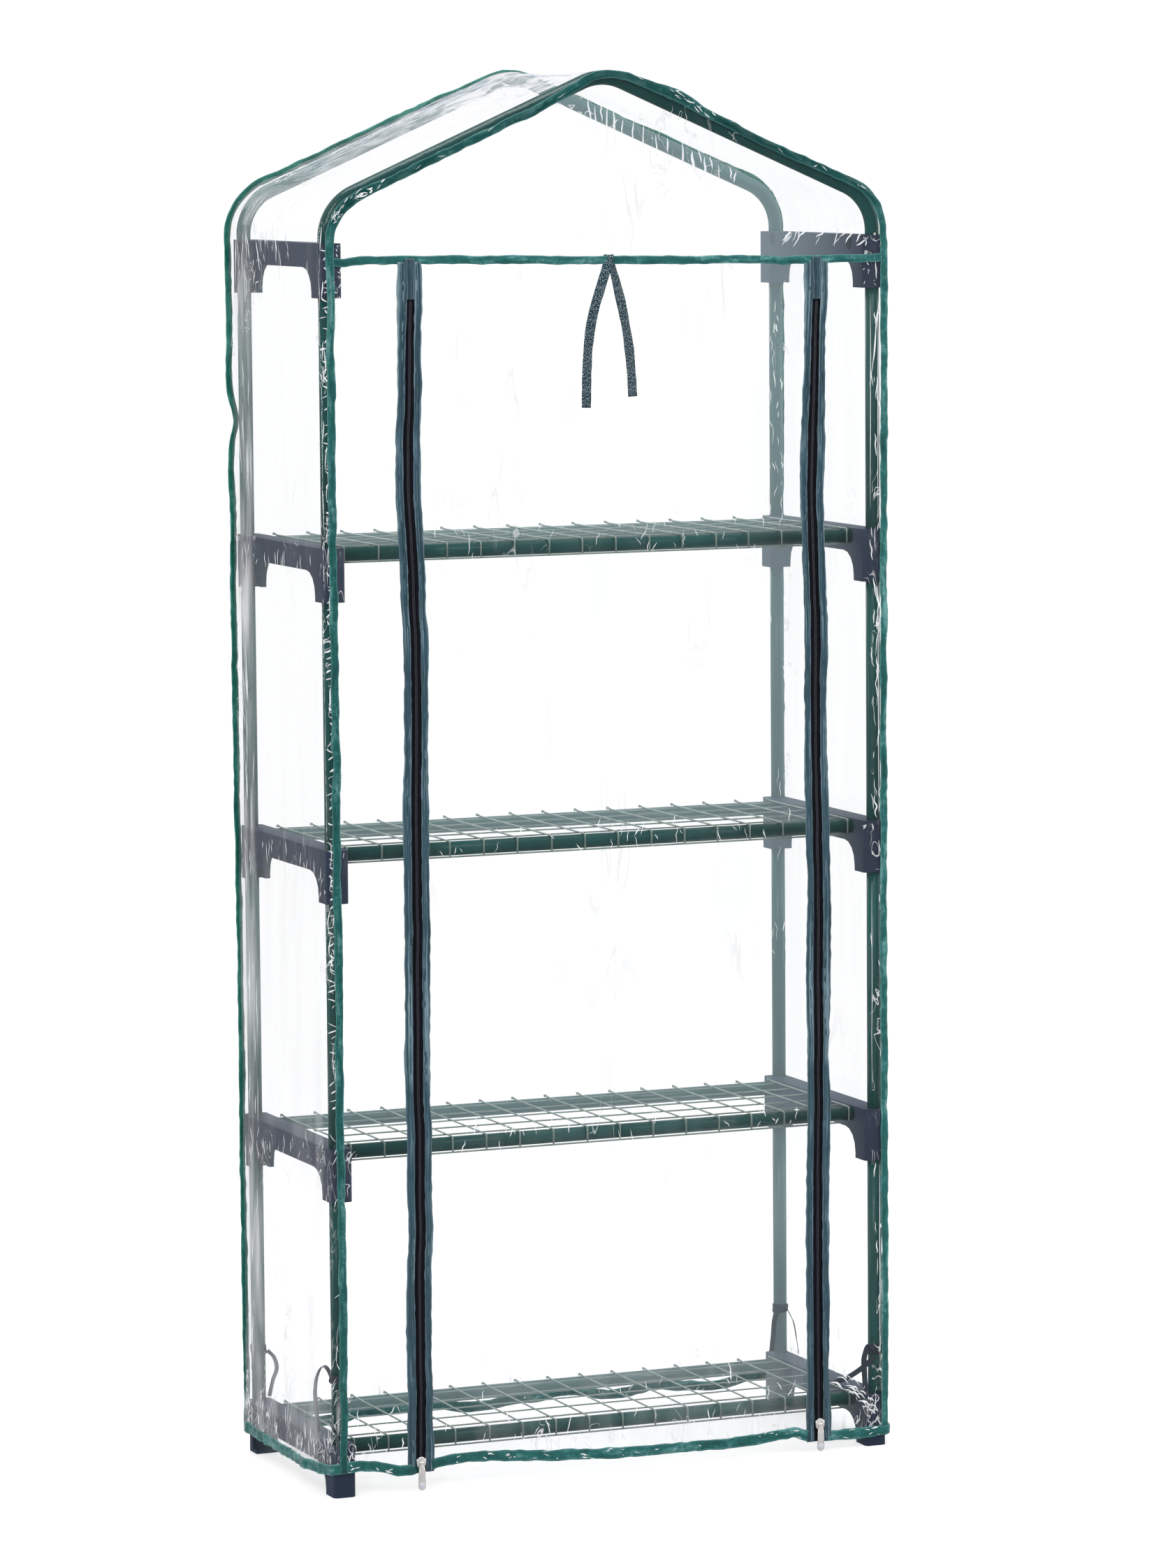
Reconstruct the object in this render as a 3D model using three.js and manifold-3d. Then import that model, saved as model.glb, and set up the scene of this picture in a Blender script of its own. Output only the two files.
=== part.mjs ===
// Walk-up mini greenhouse: tube frame in moulded side brackets, four wire shelves, clear film
// cover with a two-zip door made of sections that can gather under the roof.
// Millimetres, +Z up, front towards -Y, origin on the floor at the middle of the footprint.
import * as THREE from 'three';
import { mergeVertices } from 'three/addons/utils/BufferGeometryUtils.js';
import Module from 'manifold-3d';

// ---------------------------------------------------------------- shared dimensions
const POST_X = 332;            // post centre from the middle, across
const POST_Y = 132;            // post centre from the middle, front to back
const LEVELS = 5;              // bracket levels, the top one carries the arches
const SHELVES = LEVELS - 1;
const FIRST_TOP = 60;          // top of the lowest bracket
const PITCH = 335.1;           // bracket level to bracket level
const TUBE_R = 8;
const TUBE_INNER_R = 6.9;
const BORE_R = 8.35;           // socket for a tube
const FACETS = 12;             // facets round a tube, bore or pin
const SOCKET = 27;             // depth of a post socket
const BRACKET_H = 60;          // bracket height at its legs
const RAIL_Y = 105;            // shelf tube centre from the middle, front to back
const RAIL_DROP = 9.2;         // shelf tube centre below bracket top
const RAIL_END = 336.5;        // shelf tube end
const GAP = 0.3;               // clearance between separate pieces
const OVERCUT = 2;             // how far a cutter runs past the face it opens

const levelTop = (level) => FIRST_TOP + PITCH * level;

// ---------------------------------------------------------------- model and finishes
const finishes = {
  tube: { color: 0x2a5e4f, roughness: 0.38, metalness: 0.2 },
  bracket: { color: 0x3f4759, roughness: 0.5, metalness: 0.0 },
  wire: { color: 0x8fa39b, roughness: 0.4, metalness: 0.6 },
  film: { color: 0xe9f1f0, roughness: 0.12, metalness: 0.0 },
  binding: { color: 0x25705f, roughness: 0.55, metalness: 0.0 },
  nickel: { color: 0xbfb6aa, roughness: 0.3, metalness: 0.9 },
  tie: { color: 0x2f4f55, roughness: 0.8, metalness: 0.0 },
};
const model = new THREE.Group();
model.name = 'mini_greenhouse';

const add = (name, geometry, finish) => {
  const mesh = new THREE.Mesh(geometry, new THREE.MeshStandardMaterial(finishes[finish]));
  mesh.name = name;
  model.add(mesh);
};

// ---------------------------------------------------------------- solids
const wasm = await Module();
wasm.setup();
const { Manifold, Mesh } = wasm;

const solid = (geometry) => {
  const bare = geometry.clone();
  bare.deleteAttribute('normal');
  bare.deleteAttribute('uv');
  const merged = mergeVertices(bare, 1e-4);
  return new Manifold(new Mesh({
    numProp: 3,
    vertProperties: new Float32Array(merged.attributes.position.array),
    triVerts: new Uint32Array(merged.index.array),
  }));
};

const addSolid = (name, body, finish) => {
  const mesh = body.getMesh();
  const geometry = new THREE.BufferGeometry();
  const positions = Float32Array.from(mesh.vertProperties);
  geometry.setAttribute('position', new THREE.BufferAttribute(positions, 3));
  geometry.setIndex(new THREE.BufferAttribute(Uint32Array.from(mesh.triVerts), 1));
  geometry.computeVertexNormals();
  add(name, geometry, finish);
};

// ---------------------------------------------------------------- shapes
// Each range is [low, high].
const box = ([x0, x1], [y0, y1], [z0, z1]) => {
  const geometry = new THREE.BoxGeometry(x1 - x0, y1 - y0, z1 - z0);
  return geometry.translate((x0 + x1) / 2, (y0 + y1) / 2, (z0 + z1) / 2);
};
const boxSolid = (...ranges) => solid(box(...ranges));

const toVectors = (points) => points.map(([x, y]) => new THREE.Vector2(x, y));
const extrude = (outline, depth, hole) => {
  const shape = new THREE.Shape(toVectors(outline));
  if (hole) shape.holes.push(new THREE.Path(toVectors(hole)));
  return new THREE.ExtrudeGeometry(shape, {
    depth, bevelEnabled: false, curveSegments: 1, steps: 1,
  });
};
// outline in (y, z), raised along x
const extrudeX = (outline, x0, x1, hole) => {
  const cycleAxes = new THREE.Matrix4().set(0, 0, 1, 0, 1, 0, 0, 0, 0, 1, 0, 0, 0, 0, 0, 1);
  return extrude(outline, x1 - x0, hole).applyMatrix4(cycleAxes).translate(x0, 0, 0);
};
// outline in (x, z), raised along y
const extrudeY = (outline, y0, y1) =>
  extrude(outline, y1 - y0).rotateX(Math.PI / 2).translate(0, y1, 0);
// outline in (x, y), raised along z
const extrudeZ = (outline, z0, z1, hole) => extrude(outline, z1 - z0, hole).translate(0, 0, z0);

// Circle as a polygon with flats, not corners, on the axes.
const circle = (centerX, centerY, radius) => {
  const points = [];
  for (let i = 0; i < FACETS; i++) {
    const angle = (2 * Math.PI * (i + 0.5)) / FACETS;
    points.push([centerX + radius * Math.cos(angle), centerY + radius * Math.sin(angle)]);
  }
  return points;
};
const arc = (centerX, centerY, radius, start, end, steps) => {
  const points = [];
  for (let i = 0; i <= steps; i++) {
    const angle = start + ((end - start) * i) / steps;
    points.push([centerX + radius * Math.cos(angle), centerY + radius * Math.sin(angle)]);
  }
  return points;
};
// Half an outline whose last point is at x = 0, continued by its mirror image.
const mirrored = (half) => [...half, ...half.slice(0, -1).map(([x, z]) => [-x, z]).reverse()];

// ---------------------------------------------------------------- brackets
const BRACKET_X0 = 316;        // inner face
const BRACKET_X1 = 342;        // outer face
const BRACKET_Y = 142;         // half length
const LEG_Y = 115;             // inner side of a leg
const BEAM_H = 26.5;
const FILLET = 27;             // fillet between beam and leg
const OUTER_CORNER_R = 5;
const INNER_CORNER = 3;        // chamfer
const POCKET_X = 321.7;        // floor of the deep pocket in the leg
const RECESS_X = 338.6;        // floor of the shallow recess in the outer face
const POCKET_Y = -127.5;       // front side of pocket and recess
const RECESS_END_Y = -60;
const POCKET_H = 28;           // pocket top above the leg bottom
const RECESS_DROP = 3;         // recess top below bracket top
const FOOT_FLOOR = 4;          // left closed under pocket and recess in the lowest bracket

const bracketPlan = () => {
  const outerX = BRACKET_X1 - OUTER_CORNER_R;
  const outerY = BRACKET_Y - OUTER_CORNER_R;
  const innerX = BRACKET_X0 + INNER_CORNER;
  const innerY = BRACKET_Y - INNER_CORNER;
  return [
    ...arc(outerX, outerY, OUTER_CORNER_R, 0, Math.PI / 2, 3),
    ...arc(innerX, innerY, INNER_CORNER, Math.PI / 2, Math.PI, 1),
    ...arc(innerX, -innerY, INNER_CORNER, Math.PI, 1.5 * Math.PI, 1),
    ...arc(outerX, -outerY, OUTER_CORNER_R, 1.5 * Math.PI, 2 * Math.PI, 3),
  ];
};

// Beam on two legs, seen along x.
const bracketProfile = (topZ) => {
  const bottomZ = topZ - BRACKET_H;
  const endY = BRACKET_Y + OVERCUT;
  const filletY = LEG_Y - FILLET;
  const filletZ = topZ - BEAM_H - FILLET;
  return [
    [endY, bottomZ], [endY, topZ], [-endY, topZ], [-endY, bottomZ],
    [-LEG_Y, bottomZ],
    ...arc(-filletY, filletZ, FILLET, Math.PI, Math.PI / 2, 4),
    ...arc(filletY, filletZ, FILLET, Math.PI / 2, 0, 4),
    [LEG_Y, bottomZ],
  ];
};

// Right-hand bracket; the left-hand one is the same moulding turned half round.
const bracketSolid = (topZ, isFoot) => {
  const bottomZ = topZ - BRACKET_H;
  const postBore = (side, z0, z1) =>
    solid(extrudeZ(circle(POST_X, side * POST_Y, BORE_R), z0, z1));
  let body = solid(extrudeZ(bracketPlan(), bottomZ - OVERCUT, topZ + OVERCUT))
    .intersect(solid(extrudeX(bracketProfile(topZ), BRACKET_X0 - OVERCUT, BRACKET_X1 + OVERCUT)));
  for (const side of [-1, 1]) {
    body = body.subtract(postBore(side, topZ - SOCKET, topZ + OVERCUT));
    if (!isFoot) body = body.subtract(postBore(side, bottomZ - OVERCUT, bottomZ + SOCKET));
    const railBore = circle(side * RAIL_Y, topZ - RAIL_DROP, BORE_R);
    body = body.subtract(solid(extrudeX(railBore, BRACKET_X0 - OVERCUT, RAIL_END + GAP)));
  }
  // deep pocket in the front leg, then a shallow recess from that leg along the beam;
  // both open on the outer face
  const pocketZ = isFoot ? bottomZ + FOOT_FLOOR : bottomZ - OVERCUT;
  const outX = BRACKET_X1 + OVERCUT;
  return body
    .subtract(boxSolid([POCKET_X, outX], [POCKET_Y, -(LEG_Y - 1)], [pocketZ, bottomZ + POCKET_H]))
    .subtract(boxSolid([RECESS_X, outX], [POCKET_Y, RECESS_END_Y], [pocketZ, topZ - RECESS_DROP]));
};

for (let level = 0; level < LEVELS; level++) {
  const right = bracketSolid(levelTop(level), level === 0);
  addSolid(`bracket_right_${level + 1}`, right, 'bracket');
  addSolid(`bracket_left_${level + 1}`, right.rotate([0, 0, 180]), 'bracket');
}

// ---------------------------------------------------------------- posts and shelf tubes
// name, side across, side front to back
const CORNERS = [
  ['front_left', -1, -1],
  ['front_right', 1, -1],
  ['rear_left', -1, 1],
  ['rear_right', 1, 1],
];

const postGeometry = (x, y, level) => extrudeZ(
  circle(x, y, TUBE_R),
  levelTop(level) - SOCKET + GAP,
  levelTop(level + 1) - BRACKET_H + SOCKET - GAP,
  circle(x, y, TUBE_INNER_R),
);
const shelfTubeGeometry = (y, z) =>
  extrudeX(circle(y, z, TUBE_R), -RAIL_END, RAIL_END, circle(y, z, TUBE_INNER_R));

for (let level = 0; level < SHELVES; level++) {
  for (const [corner, sideX, sideY] of CORNERS) {
    const post = postGeometry(sideX * POST_X, sideY * POST_Y, level);
    add(`post_${corner}_${level + 1}`, post, 'tube');
  }
  for (const [where, side] of [['front', -1], ['rear', 1]]) {
    const tube = shelfTubeGeometry(side * RAIL_Y, levelTop(level) - RAIL_DROP);
    add(`shelf_tube_${where}_${level + 1}`, tube, 'tube');
  }
}

// ---------------------------------------------------------------- roof arches
const SLOPE = 23.4 * Math.PI / 180; // roof pitch
const RIDGE_Z = 1585;          // where the two slope centre lines would meet
const ELBOW_R = 55;            // bend of the arch tube over the post
const RIDGE_R = 60;            // bend of the arch tube at the ridge
const ELBOW_STEPS = 7;
const RIDGE_STEPS = 3;         // from slope to ridge, each side

// Arch centre line moved outwards by offset, from the right foot over the ridge to the left.
const archLine = (offset, footZ) => {
  const cornerZ = RIDGE_Z - POST_X * Math.tan(SLOPE);
  const turn = Math.PI / 2 - SLOPE;
  const elbowX = POST_X - ELBOW_R;
  const elbowZ = cornerZ - ELBOW_R * Math.tan(turn / 2);
  const ridgeZ = RIDGE_Z - RIDGE_R / Math.cos(SLOPE);
  return mirrored([
    [POST_X + offset, footZ],
    ...arc(elbowX, elbowZ, ELBOW_R + offset, 0, turn, ELBOW_STEPS),
    ...arc(0, ridgeZ, RIDGE_R + offset, turn, Math.PI / 2, RIDGE_STEPS),
  ]);
};

// Unit vector between two (x, z) points; its y holds the z component.
const direction = (from, to) => new THREE.Vector2(to[0] - from[0], to[1] - from[1]).normalize();

// Hollow tube along a flat path in the x-z plane at depth y: rings on the mitre planes.
const sweepTube = (path, y) => {
  const positions = [];
  const indices = [];
  const last = path.length - 1;
  for (let i = 0; i <= last; i++) {
    const before = i > 0 ? direction(path[i - 1], path[i]) : direction(path[0], path[1]);
    const after = i < last ? direction(path[i], path[i + 1]) : before;
    const tangent = before.clone().add(after).normalize();
    const stretch = 1 / tangent.dot(before);
    for (const radius of [TUBE_R, TUBE_INNER_R]) {
      for (const [across, depth] of circle(0, 0, radius)) {
        const reach = across * stretch;
        positions.push(path[i][0] - tangent.y * reach, y + depth, path[i][1] + tangent.x * reach);
      }
    }
  }
  const outer = (ring, k) => ring * 2 * FACETS + (k % FACETS);
  const inner = (ring, k) => outer(ring, k) + FACETS;
  const quad = (a, b, c, d) => indices.push(a, c, b, a, d, c);
  for (let i = 0; i < last; i++) {
    for (let k = 0; k < FACETS; k++) {
      quad(outer(i, k), outer(i, k + 1), outer(i + 1, k + 1), outer(i + 1, k));
      quad(inner(i, k + 1), inner(i, k), inner(i + 1, k), inner(i + 1, k + 1));
    }
  }
  for (let k = 0; k < FACETS; k++) {
    quad(inner(0, k), inner(0, k + 1), outer(0, k + 1), outer(0, k));
    quad(outer(last, k), outer(last, k + 1), inner(last, k + 1), inner(last, k));
  }
  const geometry = new THREE.BufferGeometry();
  geometry.setAttribute('position', new THREE.BufferAttribute(new Float32Array(positions), 3));
  geometry.setIndex(indices);
  return solid(geometry);
};

const archPath = archLine(0, levelTop(LEVELS - 1) - SOCKET + GAP);
addSolid('arch_front', sweepTube(archPath, -POST_Y), 'tube');
addSolid('arch_rear', sweepTube(archPath, POST_Y), 'tube');

// ---------------------------------------------------------------- wire shelves
const WIRE = 2.0;              // wire thickness, square section
const CROSS_N = 16;            // wires front to back
const CROSS_PITCH = 41;
const LONG_Y = [-89, -44.5, 0, 44.5, 89]; // wires side to side
const SHELF_REAR = 104;        // rear end of the shelf wires
const LIP_Y = -114.9;          // front lip wire plane
const LIP_DROP = 16.2;         // lip rail below bracket top

const shelfSolid = (topZ) => {
  const half = WIRE / 2;
  const around = (middle) => [middle - half, middle + half];
  const wireZ = topZ - RAIL_DROP + TUBE_R + GAP + half;
  const lipZ = topZ - LIP_DROP;
  const crossX = [];
  for (let i = 0; i < CROSS_N; i++) crossX.push((i - (CROSS_N - 1) / 2) * CROSS_PITCH);
  const endX = crossX[CROSS_N - 1] + half;
  const width = [-endX, endX];
  const grid = Manifold.union([
    ...LONG_Y.map((y) => boxSolid(width, around(y), around(wireZ))),
    ...crossX.map((x) => boxSolid(around(x), [LIP_Y - half, SHELF_REAR], around(wireZ))),
  ]);
  const lip = Manifold.union([
    boxSolid(width, around(LIP_Y), around(lipZ)),
    ...crossX.map((x) => boxSolid(around(x), around(LIP_Y), [lipZ - half, wireZ + half])),
  ]);
  return grid.add(lip).asOriginal().simplify(0.01);
};

for (let level = 0; level < SHELVES; level++) {
  addSolid(`wire_shelf_${level + 1}`, shelfSolid(levelTop(level)), 'wire');
}

// ---------------------------------------------------------------- cover film
const FILM_T = 0.8;            // film thickness
const FILM_OFFSET = 10.6;      // film inside face from the arch centre line
const FILM_FRONT = -144;       // outer face of the front film
const FILM_REAR = 148.5;       // outer face of the back film
const FILM_Z = 22;             // lower edge of the film
const DOOR_X = 7.5;            // middle of the door
const DOOR_HALF = 247;         // zip centre line from the middle of the door
const DOOR_TOP = 1376;         // seam the door hangs from
const ZIP_SIDE = 15;           // zip centre line to the edge of the front film
const ZIP_LAP = 1;             // zip tape overlap on the front film
const ZIP_SLOT = 0.5;          // zip centre line to tape or door edge
const ZIP_RAISE = 0.8;         // zip tape face in front of the film
const ZIP_LEFT = DOOR_X - DOOR_HALF;
const ZIP_RIGHT = DOOR_X + DOOR_HALF;
const OPENING_LEFT = ZIP_LEFT - ZIP_SIDE;
const OPENING_RIGHT = ZIP_RIGHT + ZIP_SIDE;

const filmOuter = archLine(FILM_OFFSET + FILM_T, FILM_Z);
const filmInner = archLine(FILM_OFFSET, FILM_Z);
add('film_roof_and_sides', extrudeY([...filmOuter, ...filmInner.reverse()],
  FILM_FRONT + FILM_T + GAP, FILM_REAR - FILM_T - GAP), 'film');
add('film_back', extrudeY(filmOuter, FILM_REAR - FILM_T, FILM_REAR), 'film');

const frontFilmSolid = () => {
  const outline = [
    [OPENING_RIGHT, FILM_Z], ...filmOuter, [OPENING_LEFT, FILM_Z],
    [OPENING_LEFT, DOOR_TOP], [OPENING_RIGHT, DOOR_TOP],
  ];
  const zipTape = (x0, x1) =>
    boxSolid([x0, x1], [FILM_FRONT - ZIP_RAISE, FILM_FRONT + FILM_T], [FILM_Z, DOOR_TOP]);
  return solid(extrudeY(outline, FILM_FRONT, FILM_FRONT + FILM_T))
    .add(zipTape(OPENING_LEFT - ZIP_LAP, ZIP_LEFT - ZIP_SLOT))
    .add(zipTape(ZIP_RIGHT + ZIP_SLOT, OPENING_RIGHT + ZIP_LAP));
};
addSolid('film_front_with_zip_tapes', frontFilmSolid(), 'film');

// ---------------------------------------------------------------- cover binding
// front and rear arch seams, hem all round, seam over the door
const BINDING_T = 1.2;
const BINDING_W = 9;           // width over the arch seams
const BINDING_REAR = 151;      // rearmost face
const HEM_Z = 20;              // lower edge of the cover
const HEM_TOP = HEM_Z + 11;
const SEAM_Z = [DOOR_TOP + 0.5, DOOR_TOP + 8.5];
const DOOR_CLEAR = 1.4;        // hem end from the edge of the front film

const bindingSolid = () => {
  const offset = FILM_OFFSET + FILM_T + GAP;
  const innerX = POST_X + offset;
  const outerX = innerX + BINDING_T;
  const innerFront = FILM_FRONT - GAP;
  const outerFront = innerFront - BINDING_T;
  const innerRear = FILM_REAR + GAP;
  const arch = [
    ...archLine(offset + BINDING_T, HEM_Z),
    ...archLine(offset, HEM_Z).reverse(),
  ];
  const frontBand = solid(extrudeY(arch, outerFront, outerFront + BINDING_W));
  const rearBand = solid(extrudeY(arch, BINDING_REAR - BINDING_W, BINDING_REAR));
  const hemOutside = [
    [-outerX, outerFront], [outerX, outerFront], [outerX, BINDING_REAR], [-outerX, BINDING_REAR],
  ];
  const hemInside = [
    [-innerX, innerFront], [-innerX, innerRear], [innerX, innerRear], [innerX, innerFront],
  ];
  const hem = solid(extrudeZ(hemOutside, HEM_Z, HEM_TOP, hemInside));
  const seam = boxSolid([-outerX, outerX], [outerFront, innerFront], SEAM_Z);
  const doorway = boxSolid([OPENING_LEFT - DOOR_CLEAR, OPENING_RIGHT + DOOR_CLEAR],
    [FILM_FRONT - OVERCUT, FILM_FRONT + OVERCUT], [HEM_Z - OVERCUT, HEM_TOP + OVERCUT]);
  return frontBand.add(rearBand).add(hem).add(seam).subtract(doorway);
};
addSolid('cover_binding', bindingSolid(), 'binding');

// ---------------------------------------------------------------- door sections, top down
const SECTIONS = 6;
const SECTION_STEP = 1.2;      // each section sits this far in front of the one above
const SECTION_H = (DOOR_TOP - GAP - FILM_Z) / SECTIONS;

for (let i = 0; i < SECTIONS; i++) {
  const below = SECTIONS - 1 - i;
  const topZ = DOOR_TOP - GAP - i * SECTION_H;
  const bottomZ = topZ - SECTION_H + (below === 0 ? 0 : GAP);
  const frontY = FILM_FRONT + below * SECTION_STEP;
  add(`door_section_${i + 1}`, box([ZIP_LEFT + ZIP_SLOT, ZIP_RIGHT - ZIP_SLOT],
    [frontY, frontY + FILM_T], [bottomZ, topZ]), 'film');
}

// ---------------------------------------------------------------- zip sliders and pulls
const SLIDER_Z = 27;           // slider bottom
const SLIDER_H = 12;
const SLIDER_W = 12;
const SLIDER_T = 2.4;
const EAR_IN = 2.6;            // ear faces from the zip centre line
const EAR_OUT = 3.8;
const PIN_Z = SLIDER_Z + 6;
const PIN_Y = -149.4;
const PIN_R = 0.7;
const PIN_HALF = 3;            // half length of the pin
const PIN_PLAY = 0.08;         // radial play of the pull on the pin
const EYE_R = 1.6;             // pull eye
const PULL_HALF = 2.3;         // half width of the pull's neck and eye
const PULL_T = 1.1;

const shiftX = (outline, distance) => outline.map(([x, z]) => [x + distance, z]);

// Body with a notched top, and two ears carrying a pin in front.
const sliderSolid = (centerX) => {
  const backY = FILM_FRONT - ZIP_RAISE - GAP;
  const frontY = backY - SLIDER_T;
  const half = SLIDER_W / 2;
  const topZ = SLIDER_Z + SLIDER_H;
  const outline = [
    [-half + 2.5, SLIDER_Z], [half - 2.5, SLIDER_Z], [half, SLIDER_Z + 5],
    [half, topZ - 2], [half - 2, topZ], [1.2, topZ - 2.5], [-1.2, topZ - 2.5],
    [-half + 2, topZ], [-half, topZ - 2], [-half, SLIDER_Z + 5],
  ];
  const rootY = frontY + 0.4;
  const tipY = PIN_Y - 0.95;
  const ear = [
    [PIN_Y, PIN_Z - 1.3], [tipY, PIN_Z - 0.6], [tipY, PIN_Z + 0.6],
    [PIN_Y, PIN_Z + 1.3], [rootY, PIN_Z + 2.4], [rootY, PIN_Z - 2.4],
  ];
  const pin = circle(PIN_Y, PIN_Z, PIN_R);
  return solid(extrudeY(shiftX(outline, centerX), frontY, backY))
    .add(solid(extrudeX(ear, centerX - EAR_OUT, centerX - EAR_IN)))
    .add(solid(extrudeX(ear, centerX + EAR_IN, centerX + EAR_OUT)))
    .add(solid(extrudeX(pin, centerX - PIN_HALF, centerX + PIN_HALF)));
};

// Left half of the pull: x from the zip centre line, z
const PULL_HALF_OUTLINE = [
  [-PULL_HALF, PIN_Z], [-PULL_HALF, 17], [-3.6, 14.5], [-3.6, 7.2], [-2.4, 5], [0, 4.2],
];

const pullSolid = (centerX) => {
  const plate = shiftX(mirrored(PULL_HALF_OUTLINE), centerX);
  const eye = circle(PIN_Y, PIN_Z, EYE_R);
  const hole = circle(PIN_Y, PIN_Z, PIN_R + PIN_PLAY);
  const holeHalf = PULL_HALF + OVERCUT;
  return solid(extrudeX(eye, centerX - PULL_HALF, centerX + PULL_HALF))
    .add(solid(extrudeY(plate, PIN_Y - PULL_T / 2, PIN_Y + PULL_T / 2)))
    .subtract(solid(extrudeX(hole, centerX - holeHalf, centerX + holeHalf)));
};

for (const [side, centerX] of [['left', ZIP_LEFT], ['right', ZIP_RIGHT]]) {
  addSolid(`zip_slider_${side}`, sliderSolid(centerX), 'nickel');
  addSolid(`zip_pull_${side}`, pullSolid(centerX), 'nickel');
}

// ---------------------------------------------------------------- door ties
const DOOR_TIE_HALF = 5.5;     // half width
const DOOR_TIE_T = 1;
// name, top x, bottom x, bottom below the door seam, front face y
const DOOR_TIES = [
  ['front', 1, -23, 164, -146.9],
  ['rear', 9, 31, 154, -136.6],
];
for (const [where, topX, bottomX, drop, frontY] of DOOR_TIES) {
  const topZ = DOOR_TOP - 0.2;
  const bottomZ = DOOR_TOP - drop;
  add(`door_tie_${where}`, extrudeY([
    [bottomX - DOOR_TIE_HALF, bottomZ], [bottomX + DOOR_TIE_HALF, bottomZ],
    [topX + DOOR_TIE_HALF, topZ], [topX - DOOR_TIE_HALF, topZ],
  ], frontY, frontY + DOOR_TIE_T), 'tie');
}

// ---------------------------------------------------------------- frame ties
const COLLAR_R = 9.9;
const COLLAR_H = 7;
const TAIL_W = 7;
const TAIL_T = 1.2;
const TAIL_Y = 10;             // middle of a tail's thickness from the post centre
// collar bottom z, tail start (x, z), tail end (x, z), tail in front of (-1) or behind (1)
// the post; rows in the order of CORNERS
const FRAME_TIES = [
  [130, [-335, 134], [-337, 66], -1],
  [107, [332, 112], [290, 72], -1],
  [117, [-333, 121], [-326, 78], 1],
  [111, [331, 115], [318, 66], -1],
];

const tailOutline = (start, end) => {
  const along = direction(start, end);
  const x = -along.y * (TAIL_W / 2);
  const z = along.x * (TAIL_W / 2);
  return [
    [start[0] + x, start[1] + z], [start[0] - x, start[1] - z],
    [end[0] - x, end[1] - z], [end[0] + x, end[1] + z],
  ];
};

CORNERS.forEach(([corner, sideX, sideY], i) => {
  const [z, start, end, tailSide] = FRAME_TIES[i];
  const x = sideX * POST_X;
  const y = sideY * POST_Y;
  const tailY = y + tailSide * TAIL_Y;
  const collar = solid(extrudeZ(circle(x, y, COLLAR_R), z, z + COLLAR_H, circle(x, y, BORE_R)));
  const tail = extrudeY(tailOutline(start, end), tailY - TAIL_T / 2, tailY + TAIL_T / 2);
  addSolid(`frame_tie_${corner}`, collar.add(solid(tail)), 'tie');
});

export default model;
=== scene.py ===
"""A tube-framed rack with four wire shelves under a clear film cover with a zipped front door.

The rack stands on the floor at z = 0, centred on x = y = 0. Its front faces -y, its left side -x,
and an arch with its ridge over x = 0 carries the roof. Lengths are in millimetres unless noted;
build() turns them into Blender's metres.
"""
import math

import bpy
import numpy as np
from mathutils import Matrix, Vector


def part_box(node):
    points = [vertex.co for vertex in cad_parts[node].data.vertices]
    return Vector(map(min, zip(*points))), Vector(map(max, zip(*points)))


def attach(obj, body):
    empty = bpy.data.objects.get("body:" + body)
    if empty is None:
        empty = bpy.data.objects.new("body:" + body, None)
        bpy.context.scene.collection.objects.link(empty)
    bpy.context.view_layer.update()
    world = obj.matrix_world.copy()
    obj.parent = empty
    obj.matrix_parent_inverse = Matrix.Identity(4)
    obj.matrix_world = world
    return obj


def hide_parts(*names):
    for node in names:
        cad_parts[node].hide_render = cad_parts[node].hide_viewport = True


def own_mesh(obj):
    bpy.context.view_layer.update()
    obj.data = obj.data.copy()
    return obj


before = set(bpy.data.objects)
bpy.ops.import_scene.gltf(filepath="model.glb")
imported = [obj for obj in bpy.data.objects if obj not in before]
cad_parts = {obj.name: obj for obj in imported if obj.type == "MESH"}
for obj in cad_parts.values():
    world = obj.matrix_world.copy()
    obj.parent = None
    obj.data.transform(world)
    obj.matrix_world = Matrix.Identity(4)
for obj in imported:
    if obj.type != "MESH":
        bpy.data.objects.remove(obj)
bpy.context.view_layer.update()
ROOT = "frame_and_cover"

# ------------------------------------------------------------------ driving dimensions
POST_X, POST_Y = 332.0, 132.0      # post centre lines
TUBE_R, BORE_R = 8.0, 7.1
LEVELS = [60 + 335.1 * k for k in range(5)]     # tops of the brackets; the lowest four carry shelves
SLOPE = math.radians(23.4)
RIDGE_Z, ELBOW_R, RIDGE_R = 1585.0, 55.0, 60.0  # arch centre line
RAIL_DROP = 9.2                    # from a level down to the shelf tubes' centre
LIP_Y, LIP_DROP = -114.9, 16.2     # front lip of a shelf
DOOR_CX, DOOR_HALF, DOOR_TOP = 7.5, 247.0, 1376.0
SEAM_Z = 1380                      # join between the door and the gable film
FILM_FOOT_Z = 30                   # nominal foot of the front film
FRONT_EDGE_Y, REAR_EDGE_Y = -136, 140           # where the side film starts to turn
STEP = 4.5       # film mesh


def detail(full, quick):
    return full


# ------------------------------------------------------------------ seeded noise and curves
def lattice(i, j, seed):
    n = (i.astype(np.int64) * 374761393 + j.astype(np.int64) * 668265263
         + seed * 144269504) & 0xFFFFFFFF
    n = ((n ^ (n >> 13)) * 1274126177) & 0xFFFFFFFF
    n = n ^ (n >> 16)
    return (n & 0xFFFFFF) / float(0xFFFFFF)


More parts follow.
